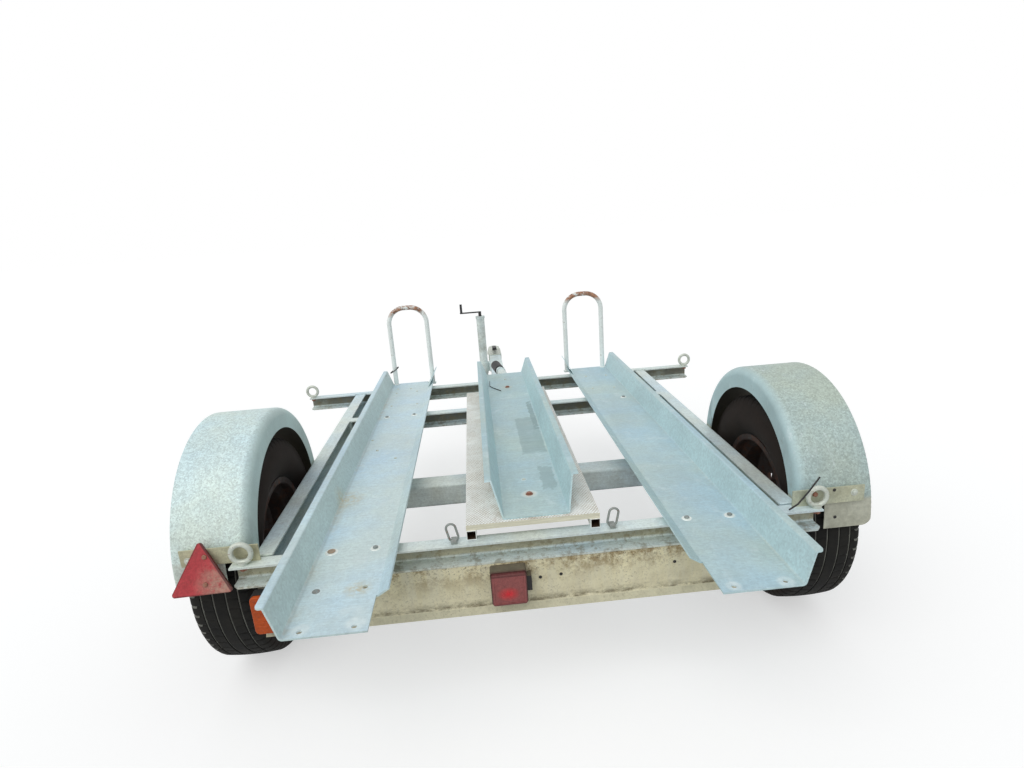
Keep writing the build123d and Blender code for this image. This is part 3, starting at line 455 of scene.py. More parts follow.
def bearer_paint():
    """Cream paint on the board's bearers, with dark brown painted shade inside the tube ends."""
    finish = Finish("bearer_paint", 0.6)
    stain = finish.blots(0.52, 0.66, 45, 6, 0.75)
    base = finish.shade(tone("board"), finish.noise(60, 5, 0.7), 0.25)
    base = finish.tint(base, linear(140, 118, 84), stain, 0.5)
    low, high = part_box("board_bearers")
    tube = 0.025
    across = finish.away(finish.axis(0), (low.x + high.x) / 2)
    off = finish.away(across, (high.x - low.x - tube) / 2)
    rise = finish.away(finish.axis(2), (low.z + high.z) / 2)
    # Painted shade: the inside of each tube end is made dark brown.
    inside = finish.spread(finish.sum("MAXIMUM", off, rise), 0.0108, 0.0114, 1.0, 0.0)
    return finish.done(finish.mix(base, linear(62, 46, 32), inside), (stain, 0.0002))


def rusty_iron(name, base_colour, rust_amount):
    """Iron with rust scale over old paint."""
    finish = Finish(name, 0.75, 0.1)
    scale = finish.noise(38, 8, 0.75)
    start = 0.56 - rust_amount * 0.3
    deep = finish.mix(toned(tone("rust"), 0.45), linear(40, 26, 20),
                      finish.blots(0.3, 0.6, 24, 5, 0.6, shift=(4, 4, 4)))
    base = finish.mix(finish.shade(base_colour, finish.noise(11, 4), 0.5), deep,
                      finish.spread(scale, start, start + 0.08))
    return finish.done(base, (scale, 0.0006), rough=finish.spread(scale, 0.4, 0.6, 0.6, 0.85))


def panel_cream():
    """Rear panel of old cream paint, brown above its lower fold and mottled with stains, with painted shade
    at its left end and on its forward faces.
    """
    finish = Finish("panel_cream", 0.7)
    cloud = finish.noise(7, 7, 0.72)
    base = finish.shade(tone("panel"), cloud, 0.45)
    base = finish.tint(base, linear(222, 218, 194), finish.blots(0.44, 0.62, 26, 5, 0.7, (1.6, 1, 0.22)),
                       0.6)
    # Paler towards the foot of the panel.
    paler_towards_foot = finish.height(FRAME_LOW - 0.085, FRAME_LOW - 0.035, 0.7, 0.0)
    base = finish.tint(base, linear(236, 230, 200), paler_towards_foot, finish.spread(cloud, 0.35, 0.6))
    base = finish.tint(base, linear(138, 114, 70), finish.blots(0.47, 0.58, 11, 7, 0.78, shift=(4, 0, 2)),
                       finish.height(FRAME_LOW - 0.07, FRAME_LOW - 0.01, 0.15, 1.0), 0.85)
    # Painted shade: the panel's left end is made dark.
    base = finish.mix(base, linear(58, 54, 46), finish.spread(finish.axis(0), -0.50, -0.44, 0.85, 0.0))
    above = finish.sum("SUBTRACT", finish.axis(2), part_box("rear_panel")[0].z + 0.0205)
    base = finish.tint(base, linear(78, 68, 40), finish.spread(above, 0.0, 0.020, 1.0, 0.0),
                       finish.spread(above, -0.003, 0.0),
                       finish.blots(0.40, 0.58, 38, 7, 0.78, (0.5, 1, 1)), 0.9)
    base = finish.tint(base, finish.shade(linear(196, 192, 166), finish.noise(30, 6, 0.75), 0.5),
                       finish.spread(above, -0.004, -0.001, 1.0, 0.0), 0.8)
    speckle = finish.blots(0.54, 0.62, 170, 5, 0.8)
    depth = finish.sum("ADD", finish.height(FRAME_LOW - 0.05, FRAME_LOW, 0.0, 0.55),
                       finish.spread(cloud, 0.42, 0.66, 0.15, 0.6))
    base = finish.tint(base, linear(80, 70, 44), speckle, depth, 0.85)
    # Painted shade: faces that look forward get a darker copy of the cream.
    base = finish.mix(base, toned(tone("panel"), 0.6), finish.facing((0, 1, 0), 0.4, 0.6))
    return finish.done(base, (finish.noise(90, 5), 0.0003), (speckle, 0.0002))


def board_film():
    """Pale film-faced board with a fine anti-slip mesh, brown beside the channel from stains and painted
    shade.
    """
    finish = Finish("board_film", 0.6)
    wires = [finish.node("TexWave", {"Vector": finish.stretched(turn=math.radians(angle)), "Scale": 46,
                                     "Distortion": 0.6, "Detail": 1}, "Fac",
                       wave_type="BANDS", bands_direction="X")
             for angle in (33, -33)]
    lines = finish.spread(finish.sum("MAXIMUM", *wires), 0.70, 0.92)
    base = finish.shade(tone("board"), finish.noise(8, 6, 0.72), 0.22)
    base = finish.shade(base, finish.noise(150, 3, 0.7), 0.14)
    worn = finish.spread(finish.noise(9, 5, 0.7, shift=(5, 5, 0)), 0.40, 0.60, 0.25, 0.75)
    base = finish.tint(base, linear(170, 152, 124), lines, worn)
    low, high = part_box("trough_centre")
    # Partly stain, partly painted shade: the board is browner beside the centre channel.
    stain_and_shade_by_channel = finish.spread(finish.away(finish.axis(0), (low.x + high.x) / 2), 0.085, 0.140, 1.0, 0.15)
    stain = finish.blots(0.46, 0.66, 13, 7, 0.75, (1.4, 0.7, 1), (2, 0, 0))
    base = finish.tint(base, linear(160, 128, 92), stain, stain_and_shade_by_channel, 0.75)
    base = finish.tint(base, tone("grime"), finish.blots(0.58, 0.64, 120, 4, 0.8), 0.3)
    edge = finish.shade(linear(226, 222, 200), finish.noise(180, 3, 0.6, (0.1, 0.1, 4)), 0.5)
    return finish.done(finish.mix(edge, base, finish.facing((0, 0, 1), 0.4, 0.6)), (lines, 0.0003))


def hoop_paint():
    """White paint, chipped to rust at the top of the bend."""
    finish = Finish("hoop_paint", 0.42, coat=0.1)
    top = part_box("hoop_left")[1].z
    chips = finish.blots(0.40, 0.50, 34, 6, 0.75)
    rust = finish.mix(linear(184, 134, 104), linear(120, 78, 54), finish.blots(0.4, 0.6, 60, 5, 0.7))
    base = finish.shade(tone("paint"), finish.noise(20, 4), 0.12)
    base = finish.tint(base, rust, chips, finish.height(top - 0.055, top - 0.030))
    base = finish.tint(base, linear(134, 118, 92), finish.blots(0.64, 0.69, 95, 3, 0.7, shift=(7, 1, 2)),
                       0.7)
    return finish.done(base, (chips, 0.0003))


def tyre_rubber():
    """Rubber, dusty on the sidewall and brown on its inner side."""
    finish = Finish("tyre_rubber", 0.9, specular=0.25)
    base = finish.shade(tone("rubber"), finish.noise(70, 4), 0.45)
    base = finish.tint(base, linear(90, 85, 76), finish.blots(0.42, 0.75, 16, 6, 0.7), 0.14)
    inner = finish.spread(finish.away(finish.axis(0), 0.0), RIGHT_WHEEL.x - 0.085, RIGHT_WHEEL.x - 0.070,
                          1.0, 0.0)
    base = finish.tint(base, finish.shade(linear(37, 29, 25), finish.noise(20, 5, 0.7), 0.5), inner, 0.8)
    return finish.done(base, (finish.noise(260, 3), 0.0002))


def groove_dust():
    """Pale dust that sits at the bottom of grooves and cuts."""
    finish = Finish("groove_dust", 0.9)
    return finish.done(finish.shade(linear(112, 112, 106), finish.noise(34, 5), 0.8))


def lens_plastic(name, base_colour, grain, bright=None, fade=None, edges=()):
    """Lens plastic dulled by dirt; where given, a painted highlight, a faded patch, and darker edges that
    are partly its frame and partly painted shadow.
    """
    finish = Finish(name, 0.45, coat=0.08, specular=0.3)
    base = finish.shade(base_colour, finish.noise(34, 5, 0.7), 0.4)
    # Painted highlight: a brighter spot on the lens.
    if bright:
        centre, radius, glow = bright
        base = finish.mix(base, finish.shade(glow, finish.noise(60, 4, 0.7), 0.5),
                          finish.spot(centre, radius, radius * 0.9, (0.8, 1, 1.2)))
    base = finish.tint(base, linear(96, 66, 52), finish.blots(0.54, 0.72, 52, 6, 0.75), 0.35)
    if fade:
        place, radius, pale = fade
        base = finish.tint(base, pale, finish.spot(place, radius, radius * 0.7),
                           finish.blots(0.36, 0.56, 40, 6, 0.75))
    # Darker edges: partly the lens's frame, partly painted shadow.
    for point, direction, width, strength in edges:
        reach = finish.vector("DOT_PRODUCT", finish.vector("SUBTRACT", finish.place, point), direction)
        base = finish.tint(base, linear(74, 34, 34), finish.spread(reach, -width - 0.001, -width + 0.001),
                           strength)
    prisms = finish.cells(grain, (1, 0.2, 1))
    return finish.done(finish.shade(base, prisms, 0.12), (prisms, 0.0002))


def dull_plastic(name, base_colour, dusty=0.4):
    """Black plastic with a fine grain."""
    finish = Finish(name, 0.6)
    base = finish.shade(base_colour, finish.noise(40, 5), 0.5)
    base = finish.tint(base, linear(110, 104, 92), finish.blots(0.55, 0.8, 24, 5, 0.7), dusty)
    return finish.done(base, (finish.noise(500, 2), 0.0001))


def lamp_housing():
    """Housing of the fog lamp: red-brown next to the lens, black at the sides, dusty on top."""
    finish = Finish("lamp_housing", 0.6)
    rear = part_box("fog_lamp")[0].y
    base = finish.tint(linear(26, 24, 24), linear(110, 102, 84), finish.facing((0, 0, 1), 0.3, 0.7), 0.9)
    base = finish.tint(base, linear(74, 34, 32),
                       finish.spread(finish.axis(1), rear, rear + 0.010, 1.0, 0.0), 0.8)
    return finish.done(finish.shade(base, finish.noise(60, 5, 0.7), 0.6), (finish.noise(400, 2), 0.0001))


def plated(name, base_colour, rust):
    """Zinc-plated small parts with rust freckles."""
    finish = Finish(name, 0.5, 0.3)
    start = 0.62 - rust * 0.25
    base = finish.shade(base_colour, finish.noise(60, 4), 0.35)
    base = finish.tint(base, tone("rust"), finish.blots(start, start + 0.08, 150, 5, 0.75), 0.85)
    return finish.done(base, (finish.noise(200, 4), 0.0002))


MATERIALS = {}


def channel_materials():
    """Zinc of the three channels, with their pale marks, rust marks and dull patches."""
    zinc = tone("channel")
    pale_left = [(on_deck(-0.398, 0.028), 0.022), (on_deck(-0.511, 0.024), 0.019),
                 (on_deck(-0.511, 0.323), 0.017),
                 (on_deck(-0.400, 0.321), 0.014), (on_deck(-0.510, 0.156), 0.012)]
    pale_right = [(on_deck(0.399, 0.020), 0.016), (on_deck(0.511, 0.016), 0.018),
                  (on_deck(0.403, 0.316), 0.013),
                  (on_deck(0.514, 0.310), 0.015)]
    pale_centre = [(on_centre(0.002, 0.559), 0.009), (on_centre(0.009, 0.462), 0.022)]
    rust_left = [(on_deck(-0.416, 0.150), 0.022), (on_deck(-0.525, 0.62), 0.035)]
    rust_centre = [(on_centre(0.009, 0.462), 0.013), (on_centre(0.016, 1.551), 0.018)]
    dull_right = [(on_deck(0.46, 0.62), (0.045, 0.11), 1.6, 0.10),
                  (on_deck(0.44, 1.13), (0.05, 0.09), 1.6, 0.12)]
    dull_centre = [(on_centre(0.056, 0.93), (0.042, 0.185), 0.35, 0.55),
                   (on_centre(0.072, 0.565), (0.022, 0.085), 1.5, 0.5),
                   (on_centre(0.086, 1.14), (0.010, 0.17), 2.2, 0.8),
                   (on_centre(0.002, 1.60), (0.05, 0.16), 1.8, 0.16)]
    return {
        "left_channel": channel_zinc("left_channel_zinc", zinc, (0.90, 0.90, 0.82), -1, pale_left,
                                     rust_left),
        # Painted shade: the right channel's zinc is the channel zinc made darker, as that side lies in
        # shade.
        "right_channel": channel_zinc("right_channel_zinc", toned(zinc, 0.81, 0.85, 0.83),
                                      (1.08, 1.10, 1.07), 1,
                                      pale_right, (), dull_right),
        "centre_channel": channel_zinc("centre_channel_zinc", tone("centre"), (1.08, 1.10, 1.08), 0,
                                       pale_centre,
                                       rust_centre, dull_centre),
    }


def lens_materials():
    """The lenses and the reflector, with their painted glow, faded corner, and dark edges that are partly
    painted shadow.
    """
    low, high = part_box("fog_lens")
    lens = (low + high) / 2
    # Darker frame round the fog lens, widest along its top, where it is painted shadow under the housing.
    border_and_shadow = [((lens.x + x * 0.046, low.y, lens.z + z * 0.046), (x, 0, z), width, strength)
              for x, z, width, strength in ((0, 1, 0.009, 0.7), (0, -1, 0.007, 0.6), (1, 0, 0.005, 0.5),
                                            (-1, 0, 0.005, 0.5))]
    # Painted highlights: a bright red spot low on the fog lens and a bright amber spot on the amber lens.
    glow = ((lens.x - 0.003, low.y, lens.z - 0.012), 0.013, linear(216, 44, 54))
    amber_painted_glow = ((-0.57, ahead(0.27), DECK - 0.05), 0.03, linear(232, 122, 40))
    fade = (tuple(on_plate(-0.780, -0.020)), 0.042, linear(178, 142, 126))
    # Darker edges of the reflector, widest at its upper right, partly painted shade of its side.
    edges = []
    for angle, width, strength in ((30, 0.005, 0.85), (150, 0.002, 0.5), (270, 0.0025, 0.5)):
        out = Vector((math.cos(math.radians(angle)), 0, 0)) + PLATE_UP * math.sin(math.radians(angle))
        edges.append((tuple(PLATE_MIDDLE + out * 0.0447), tuple(out), width, strength))
    return {
        "red": lens_plastic("red_lens", linear(96, 26, 30), 260),
        "fog": lens_plastic("fog_red", linear(150, 86, 84), 300, glow, edges=border_and_shadow),
        "amber": lens_plastic("amber_lens", tone("amber_lens"), 220, amber_painted_glow),
        "triangle": lens_plastic("triangle_red", tone("triangle"), 240, fade=fade, edges=edges),
    }


def make_materials():
    """Every finish, made once and kept by name."""
    frame_colour = tone("frame")
    MATERIALS.update(channel_materials())
    MATERIALS.update(lens_materials())
    MATERIALS.update({
        # The skirt factors below hold painted light and shade.
        "left_guard": guard_zinc("left_guard_zinc", tone("guard_left"), (0.76, 0.80, 0.76), 0.35,
                                 "mudguard_left", -1),
        # The right mudguard's colour holds painted shade.
        "right_guard": guard_zinc("right_guard_zinc", tone("guard_right_shaded"), (1.04, 1.15, 1.24), 0.75,
                                  "mudguard_right", 1),
        "frame": frame_zinc("frame_zinc", frame_colour, 0.45),
        "beam": frame_zinc("beam_zinc", toned(frame_colour, 0.92), 0.3, (0.07, 1, 1)),
        "straps": frame_zinc("strap_zinc", linear(192, 192, 168), 0.5, (1, 1, 1)),
        "rear_member": member_zinc("rear_member_zinc", 0.92, linear(120, 118, 102), linear(190, 184, 154)),
        "members": member_zinc("member_zinc", 0.9, linear(84, 80, 68), linear(112, 108, 92)),
        "panel": panel_cream(),
        "board": board_film(),
        "bearer": bearer_paint(),
        "paint": hoop_paint(),
        "rubber": tyre_rubber(),
        "dust": groove_dust(),
        "iron": rusty_iron("rusty_iron", linear(40, 33, 29), 0.35),
        "wheel": rusty_iron("wheel_paint", linear(40, 31, 28), 0.25),
        "housing": lamp_housing(),
        "black": dull_plastic("black_plastic", tone("black")),
        "roller": dull_plastic("roller_rubber", linear(36, 35, 34)),
        # Dark plastic for the discs of painted shade in holes.
        "hole": dull_plastic("dark_hole", linear(24, 22, 20), 0.0),
    })
    for key, name, screen, rust in (
            ("plated", "plated_steel", (196, 206, 206), 0.12),
            ("tan_bolt", "tan_bolt", (156, 138, 118), 0.12),
            ("pale_steel", "pale_steel", (228, 234, 230), 0.05),
            ("rusty_bolt", "rusty_bolt", (150, 108, 92), 0.6),
            ("fitting", "cast_fitting", (200, 206, 196), 0.15),
            ("ring", "ring_steel", (142, 148, 144), 0.15),
            ("grey_bolt", "grey_bolt", (138, 146, 144), 0.25)):
        MATERIALS[key] = plated(name, linear(*screen), rust)


NODE_FINISH = {
    "left_channel": ["trough_left"],
    "right_channel": ["trough_right"],
    "centre_channel": ["trough_centre"],
    "left_guard": ["mudguard_left"],
    "right_guard": ["mudguard_right"],
    "frame": ["side_rail_left", "side_rail_right", "drawbar", "hoop_tabs", "front_tube", "jockey_tube",
              "jockey_inner_tube", "jockey_fork", "jockey_clamp"],
    "beam": ["axle_beam"],
    "rear_member": ["cross_member_rear"],
    "members": ["cross_member_middle", "cross_member_front"],
    "straps": ["mudguard_straps"],
    "panel": ["rear_panel"],
    "board": ["board"],
    "bearer": ["board_bearers"],
    "paint": ["hoop_left", "hoop_right"],
    "iron": ["axle_arm_left", "axle_arm_right", "hub_left", "hub_right"],
    "wheel": ["rim_left", "rim_right"],
    "red": ["red_lenses"],
    "fog": ["fog_lens"],
    "amber": ["amber_lenses"],
    "triangle": ["triangle_reflector"],
    "black": ["front_tube_cap", "rear_lamps", "coupling_handle", "jockey_crank"],
    "housing": ["fog_lamp"],
    "roller": ["jockey_wheel"],
    "fitting": ["eye_nuts", "coupling"],
    "ring": ["lashing_rings"],
}


class Tree:
    """A Geometry Nodes tree with named inputs, which ends in Realize Instances and Set Material."""

    def __init__(self, name, **inputs):
        self.group = bpy.data.node_groups.new(name, "GeometryNodeTree")
        face = self.group.interface
        face.new_socket("Geometry", in_out="INPUT", socket_type="NodeSocketGeometry")
        for key, default in inputs.items():
            kind = "NodeSocketInt" if isinstance(default, int) else "NodeSocketFloat"
            label = key.replace("_", " ").title()
            face.new_socket(label, in_out="INPUT", socket_type=kind).default_value = default
        face.new_socket("Material", in_out="INPUT", socket_type="NodeSocketMaterial")
        face.new_socket("Geometry", in_out="OUTPUT", socket_type="NodeSocketGeometry")
        self.given = self.group.nodes.new("NodeGroupInput").outputs

    def node(self, kind, inputs, output=0, **settings):
        """New node; gives one of its outputs."""
        return add_node(self.group, kind, inputs, output, **settings)

    def geometry(self, kind, inputs, **settings):
        """New geometry node; gives its first output."""
        return self.node("GeometryNode" + kind, inputs, **settings)

    def vector(self, x=0.0, y=0.0, z=0.0):
        """Vector from three values."""
        return self.node("ShaderNodeCombineXYZ", {0: x, 1: y, 2: z})

    def math(self, operation, first, second):
        """Two values put together."""
        return self.node("ShaderNodeMath", {0: first, 1: second}, operation=operation)

    def placed(self, points, instance, **how):
        """Instances on points, each turned or scaled where given."""
        return self.geometry("InstanceOnPoints", {"Points": points, "Instance": instance,
                                                  **{key.title(): value for key, value in how.items()}})

    def close(self, geometry):
        """Realized, given its material and sent out."""
        plain = self.geometry("RealizeInstances", {"Geometry": geometry})
        dressed = self.geometry("SetMaterial", {"Geometry": plain, "Material": self.given["Material"]})
        self.node("NodeGroupOutput", {0: dressed})
        return self.group


def bolt_tree():
    """Washer, hexagon or round head and dome on every point, turned at random about its axis."""
    tree = Tree("bolts", washer_radius=0.014, washer_thickness=0.002, head_radius=0.0095, head_height=0.006,
                head_sides=6, dome_height=0.001, seed=0)
    given = tree.given

    def cone(sides, radius, taper, depth):
        """Flat cone that stands on its wider end."""
        return tree.geometry("MeshCone", {"Vertices": sides, "Radius Bottom": radius, "Depth": depth,
                                          "Radius Top": tree.math("MULTIPLY", radius, taper)})

    washer = cone(20, given["Washer Radius"], 0.93, given["Washer Thickness"])
    head = tree.geometry("MeshCylinder", {"Vertices": given["Head Sides"], "Radius": given["Head Radius"],
                                          "Depth": given["Head Height"]})
    crown = cone(given["Head Sides"], given["Head Radius"], 0.72, given["Dome Height"])
    middle = tree.math("ADD", given["Washer Thickness"], tree.math("MULTIPLY", given["Head Height"], 0.5))
    top = tree.math("ADD", given["Washer Thickness"], given["Head Height"])
    head, crown = [tree.geometry("Transform", {"Geometry": part, "Translation": tree.vector(z=lift)})
                   for part, lift in ((head, middle), (crown, top))]
    bolt = tree.geometry("JoinGeometry", {0: [washer, head, crown]})
    turn = tree.node("FunctionNodeRandomValue", {2: 0.0, 3: math.tau, "Seed": given["Seed"]}, 1,
                     data_type="FLOAT")
    spin = tree.node("FunctionNodeAxisAngleToRotation", {"Axis": (0, 0, 1), "Angle": turn})
    facing = tree.geometry("InputNamedAttribute", {"Name": "facing"}, data_type="FLOAT_VECTOR")
    aim = tree.node("FunctionNodeAlignRotationToVector", {"Rotation": spin, "Vector": facing}, axis="Z")
    return tree.close(tree.placed(given["Geometry"], bolt, rotation=aim))


def weld_tree():
    """Overlapping flat beads along each path."""
    tree = Tree("weld_beads", bead_radius=0.0035, pitch=0.0035, seed=0)
    given = tree.given
    path = tree.geometry("MeshToCurve", {"Mesh": given["Geometry"]})
    points = tree.geometry("ResampleCurve", {"Curve": path, "Length": given["Pitch"]}, mode="LENGTH")
    bead = tree.geometry("MeshIcoSphere", {"Radius": given["Bead Radius"], "Subdivisions": 2})
    bead = tree.geometry("SetShadeSmooth", {"Geometry": bead})
    aim = tree.node("FunctionNodeAlignRotationToVector", {"Vector": tree.geometry("InputTangent", {})},
                    axis="Z")
    size = tree.node("FunctionNodeRandomValue",
                     {0: (0.8, 0.8, 0.6), 1: (1.15, 1.15, 0.85), "Seed": given["Seed"]},
                     data_type="FLOAT_VECTOR")
    return tree.close(tree.placed(points, bead, rotation=aim, scale=size))


def strip_tree():
    """Flat strip with a given section, swept along each path."""
    tree = Tree("strips", width=0.0045, thickness=0.0013)
    path = tree.geometry("MeshToCurve", {"Mesh": tree.given["Geometry"]})
    path = tree.geometry("SetCurveNormal", {"Curve": path}, mode="MINIMUM_TWIST")
    section = tree.geometry("CurvePrimitiveQuadrilateral", {"Width": tree.given["Thickness"],
                                                            "Height": tree.given["Width"]})
    return tree.close(tree.geometry("CurveToMesh",
                                    {"Curve": path, "Profile Curve": section, "Fill Caps": True}))


def rib_tree():
    """Row of raised ribs, each along X and stacked up Z, on every point and turned about Y."""
    tree = Tree("lens_ribs", count=8, pitch=0.01, length=0.08, radius=0.003, turn=0.0)
    given = tree.given
    rib = tree.geometry("MeshCylinder",
                        {"Vertices": 10, "Radius": given["Radius"], "Depth": given["Length"]})
    rib = tree.geometry("Transform", {"Geometry": rib, "Rotation": (0, math.pi / 2, 0)})
    rib = tree.geometry("Transform", {"Geometry": rib, "Scale": (1, 0.5, 1)})
    line = tree.geometry("MeshLine", {"Count": given["Count"], "Offset": tree.vector(z=given["Pitch"])},
                         mode="OFFSET")
    turn = tree.node("FunctionNodeEulerToRotation", {0: tree.vector(y=given["Turn"])})
    return tree.close(tree.placed(given["Geometry"], tree.placed(line, rib), rotation=turn))


TREE_MAKERS = {"bolts": bolt_tree, "welds": weld_tree, "strips": strip_tree, "ribs": rib_tree}
TREES = {}


def linked(name, data):
    """New object in the scene."""
    made = bpy.data.objects.new(name, data)
    bpy.context.scene.collection.objects.link(made)
    return made


def grown(name, points, tree, values, finish, body="chassis", facing=(), paths=()):
    """Piece that a tree makes on points or along paths, as a plain mesh that rides on a body."""
    mesh = bpy.data.meshes.new(name + "_places")
    points, edges = list(points), []
    for path in paths:
        edges += [(i, i + 1) for i in range(len(points), len(points) + len(path) - 1)]
        points += path
    mesh.from_pydata([tuple(p) for p in points], edges, [])
    if facing:
        layer = mesh.attributes.new("facing", "FLOAT_VECTOR", "POINT")
        for item, direction in zip(layer.data, facing):
            item.vector = direction
    holder = linked(name + "_places", mesh)
    if tree not in TREES:
        TREES[tree] = TREE_MAKERS[tree]()
    modifier = holder.modifiers.new("tree", "NODES")
    modifier.node_group = TREES[tree]
    values = dict(values, Material=MATERIALS[finish])
    for item in modifier.node_group.interface.items_tree:
        if item.in_out == "INPUT" and item.name in values:
            modifier[item.identifier] = values[item.name]
    graph = bpy.context.evaluated_depsgraph_get()
    made = bpy.data.meshes.new_from_object(holder.evaluated_get(graph), depsgraph=graph)
    bpy.data.objects.remove(holder)
    return placed(name, made, body)


def placed(name, mesh, body, finish=None, smooth=None):
    """Mesh as a piece at the origin that rides on a body."""
    mesh.name = name
    if finish:
        mesh.materials.append(MATERIALS[finish])
    piece = linked(name, mesh)
    if smooth is not None:
        for polygon in mesh.polygons:
            polygon.use_smooth = True
        mesh.set_sharp_from_angle(angle=math.radians(smooth))
    if len(mesh.polygons) == 0:
        raise RuntimeError(f"{name} came out empty")
    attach(piece, body)
    return piece


def bolts(name, finish, rows, washer, head, height, sides, thickness=2.0, dome=1.0, body="chassis"):
    """Bolts at places, each row a place and the way its head faces; the measures are in millimetres."""
    values = {"Washer Radius": (washer or head) / 1000, "Washer Thickness": thickness / 1000,
              "Head Radius": head / 1000, "Head Height": height / 1000, "Head Sides": sides,
              "Dome Height": dome / 1000, "Seed": size_values().seed}
    return grown(name, [p for p, _ in rows], "bolts", values, finish, body, [f for _, f in rows])


class TRAILER_OT_finishes(bpy.types.Operator):
    """Give every piece of the frame its finish"""

    bl_idname = "trailer.finishes"
    bl_label = "Finishes"

    def execute(self, context):
        make_materials()
        for finish, names in NODE_FINISH.items():
            for name in names:
                node = NODES[name]
                for slot in node.material_slots:
                    slot.material = MATERIALS[finish]
        return {"FINISHED"}


def arc_points(start, middle, end, steps):
    """Points on the arc through three places, without its start."""
    (ax, ay), (bx, by), (cx, cy) = start, middle, end
    turn = 2 * (ax * (by - cy) + bx * (cy - ay) + cx * (ay - by))
    first, second, third = ax * ax + ay * ay, bx * bx + by * by, cx * cx + cy * cy
    x = (first * (by - cy) + second * (cy - ay) + third * (ay - by)) / turn
    y = (first * (cx - bx) + second * (ax - cx) + third * (bx - ax)) / turn
    low, high = math.atan2(ay - y, ax - x), math.atan2(cy - y, cx - x)
    reach = math.hypot(ax - x, ay - y)
    angles = [low + (high - low) * (i + 1) / steps for i in range(steps)]
    return [(x + reach * math.cos(angle), y + reach * math.sin(angle)) for angle in angles]


def tyre_mesh(name, centre, outward):
    """Tyre with four long grooves, shoulder cuts and rounded sidewalls, revolved about X."""
    sizes = size_values()
    low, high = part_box("tyre_left")
    radius = (high.z - low.z) / 2
    half = (high.x - low.x) / 2 - 0.0005
    bead, flange = 0.178, 0.1943
    bead_half = 0.0697
    shoulder = (half - 0.010, radius - 0.028)
    flat = half - 0.026
    rows = [(bead_half, bead, "rubber"), (bead_half, flange, "rubber")]

    def add(across, distance, kind="rubber"):
        """Next place of the section: how far across and how far from the axle."""
        rows.append((across, distance, kind))

    def crown(across):
        """Radius of the slightly rounded tread."""
        return radius - 0.004 * (across / flat) ** 2

    wall = arc_points((bead_half, flange), (half, (flange + shoulder[1]) / 2), shoulder, 9)
    edge = arc_points(shoulder, (half - 0.015, radius - 0.01217), (flat, crown(flat)), 4)
    for across, distance in [*wall, *edge]:
        add(across, distance)
    width, depth = sizes.groove_width / 2, sizes.groove
    for centre_line in (0.0480, 0.0165):
        add(centre_line + width + 0.012, crown(centre_line + width + 0.012))
        add(centre_line + width, crown(centre_line + width))
        add(centre_line + width * 0.7, crown(centre_line) - depth, "groove")
        add(centre_line - width * 0.7, crown(centre_line) - depth, "groove")
        add(centre_line - width, crown(centre_line - width))
    full = rows + [(-a, r, k) for a, r, k in reversed(rows)]
    inner = [(bead_half - 0.018, bead), (half - 0.014, 0.224), (half - 0.014, 0.262), (flat, radius - 0.016)]
    ring = full + [(-a, r, "inside") for a, r in inner] + [(a, r, "inside") for a, r in reversed(inner)]
    per_sipe = 8
    shoulder_start, shoulder_depth = 0.053, 0.0042
    rib_start, rib_end, rib_depth = 0.024, 0.046, 0.0025
    around = sizes.sipes * per_sipe
    across = np.array([r[0] for r in ring])
    reach = np.array([r[1] for r in ring])
    kinds = [r[2] for r in ring]
    is_tread = np.array([k == "rubber" and d > radius - 0.024 for (_, d, k) in ring])
    points = np.zeros((around, len(ring), 3))
    for turn in range(around):
        angle = math.tau * turn / around
        cut = (turn % per_sipe == 0) & (np.abs(across) > shoulder_start) & is_tread
        on_rib = (np.abs(across) > rib_start) & (np.abs(across) < rib_end) & is_tread
        inner_cut = ((turn + per_sipe // 2) % per_sipe == 0) & on_rib
        distance = reach - np.where(cut, shoulder_depth, 0.0) - np.where(inner_cut, rib_depth, 0.0)
        points[turn, :, 0] = centre.x + outward * across
        points[turn, :, 1] = centre.y + distance * math.cos(angle)
        points[turn, :, 2] = centre.z + distance * math.sin(angle)
    count = len(ring)
    faces, dusty = [], []
    for turn in range(around):
        following = (turn + 1) % around
        for i in range(count):
            j = (i + 1) % count
            faces.append((turn * count + i, turn * count + j, following * count + j, following * count + i))
            shoulder_cut = (turn % per_sipe == 0 and min(across[i], across[j]) > shoulder_start
                            and is_tread[i] and is_tread[j])
            dusty.append(shoulder_cut or (kinds[i] == "groove" and kinds[j] == "groove"))
    mesh = bpy.data.meshes.new(name)
    mesh.from_pydata(points.reshape(-1, 3).tolist(), [], faces)
    mesh.materials.append(MATERIALS["rubber"])
    mesh.materials.append(MATERIALS["dust"])
    mesh.polygons.foreach_set("material_index", [1 if d else 0 for d in dusty])
    turned = bmesh.new()
    turned.from_mesh(mesh)
    bmesh.ops.recalc_face_normals(turned, faces=turned.faces)
    turned.to_mesh(mesh)
    turned.free()
    return mesh


class TRAILER_OT_tyres(bpy.types.Operator):
    """Make both tyres with their tread"""

    bl_idname = "trailer.tyres"
    bl_label = "Tyres"

    def execute(self, context):
        for side, centre, outward in (("left", LEFT_WHEEL, -1), ("right", RIGHT_WHEEL, 1)):
            mesh = tyre_mesh(f"tread_{side}", centre, outward)
            piece = placed(f"tread_{side}", mesh, f"wheel_{side}", smooth=32)
            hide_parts(f"tyre_{side}")
        return {"FINISHED"}


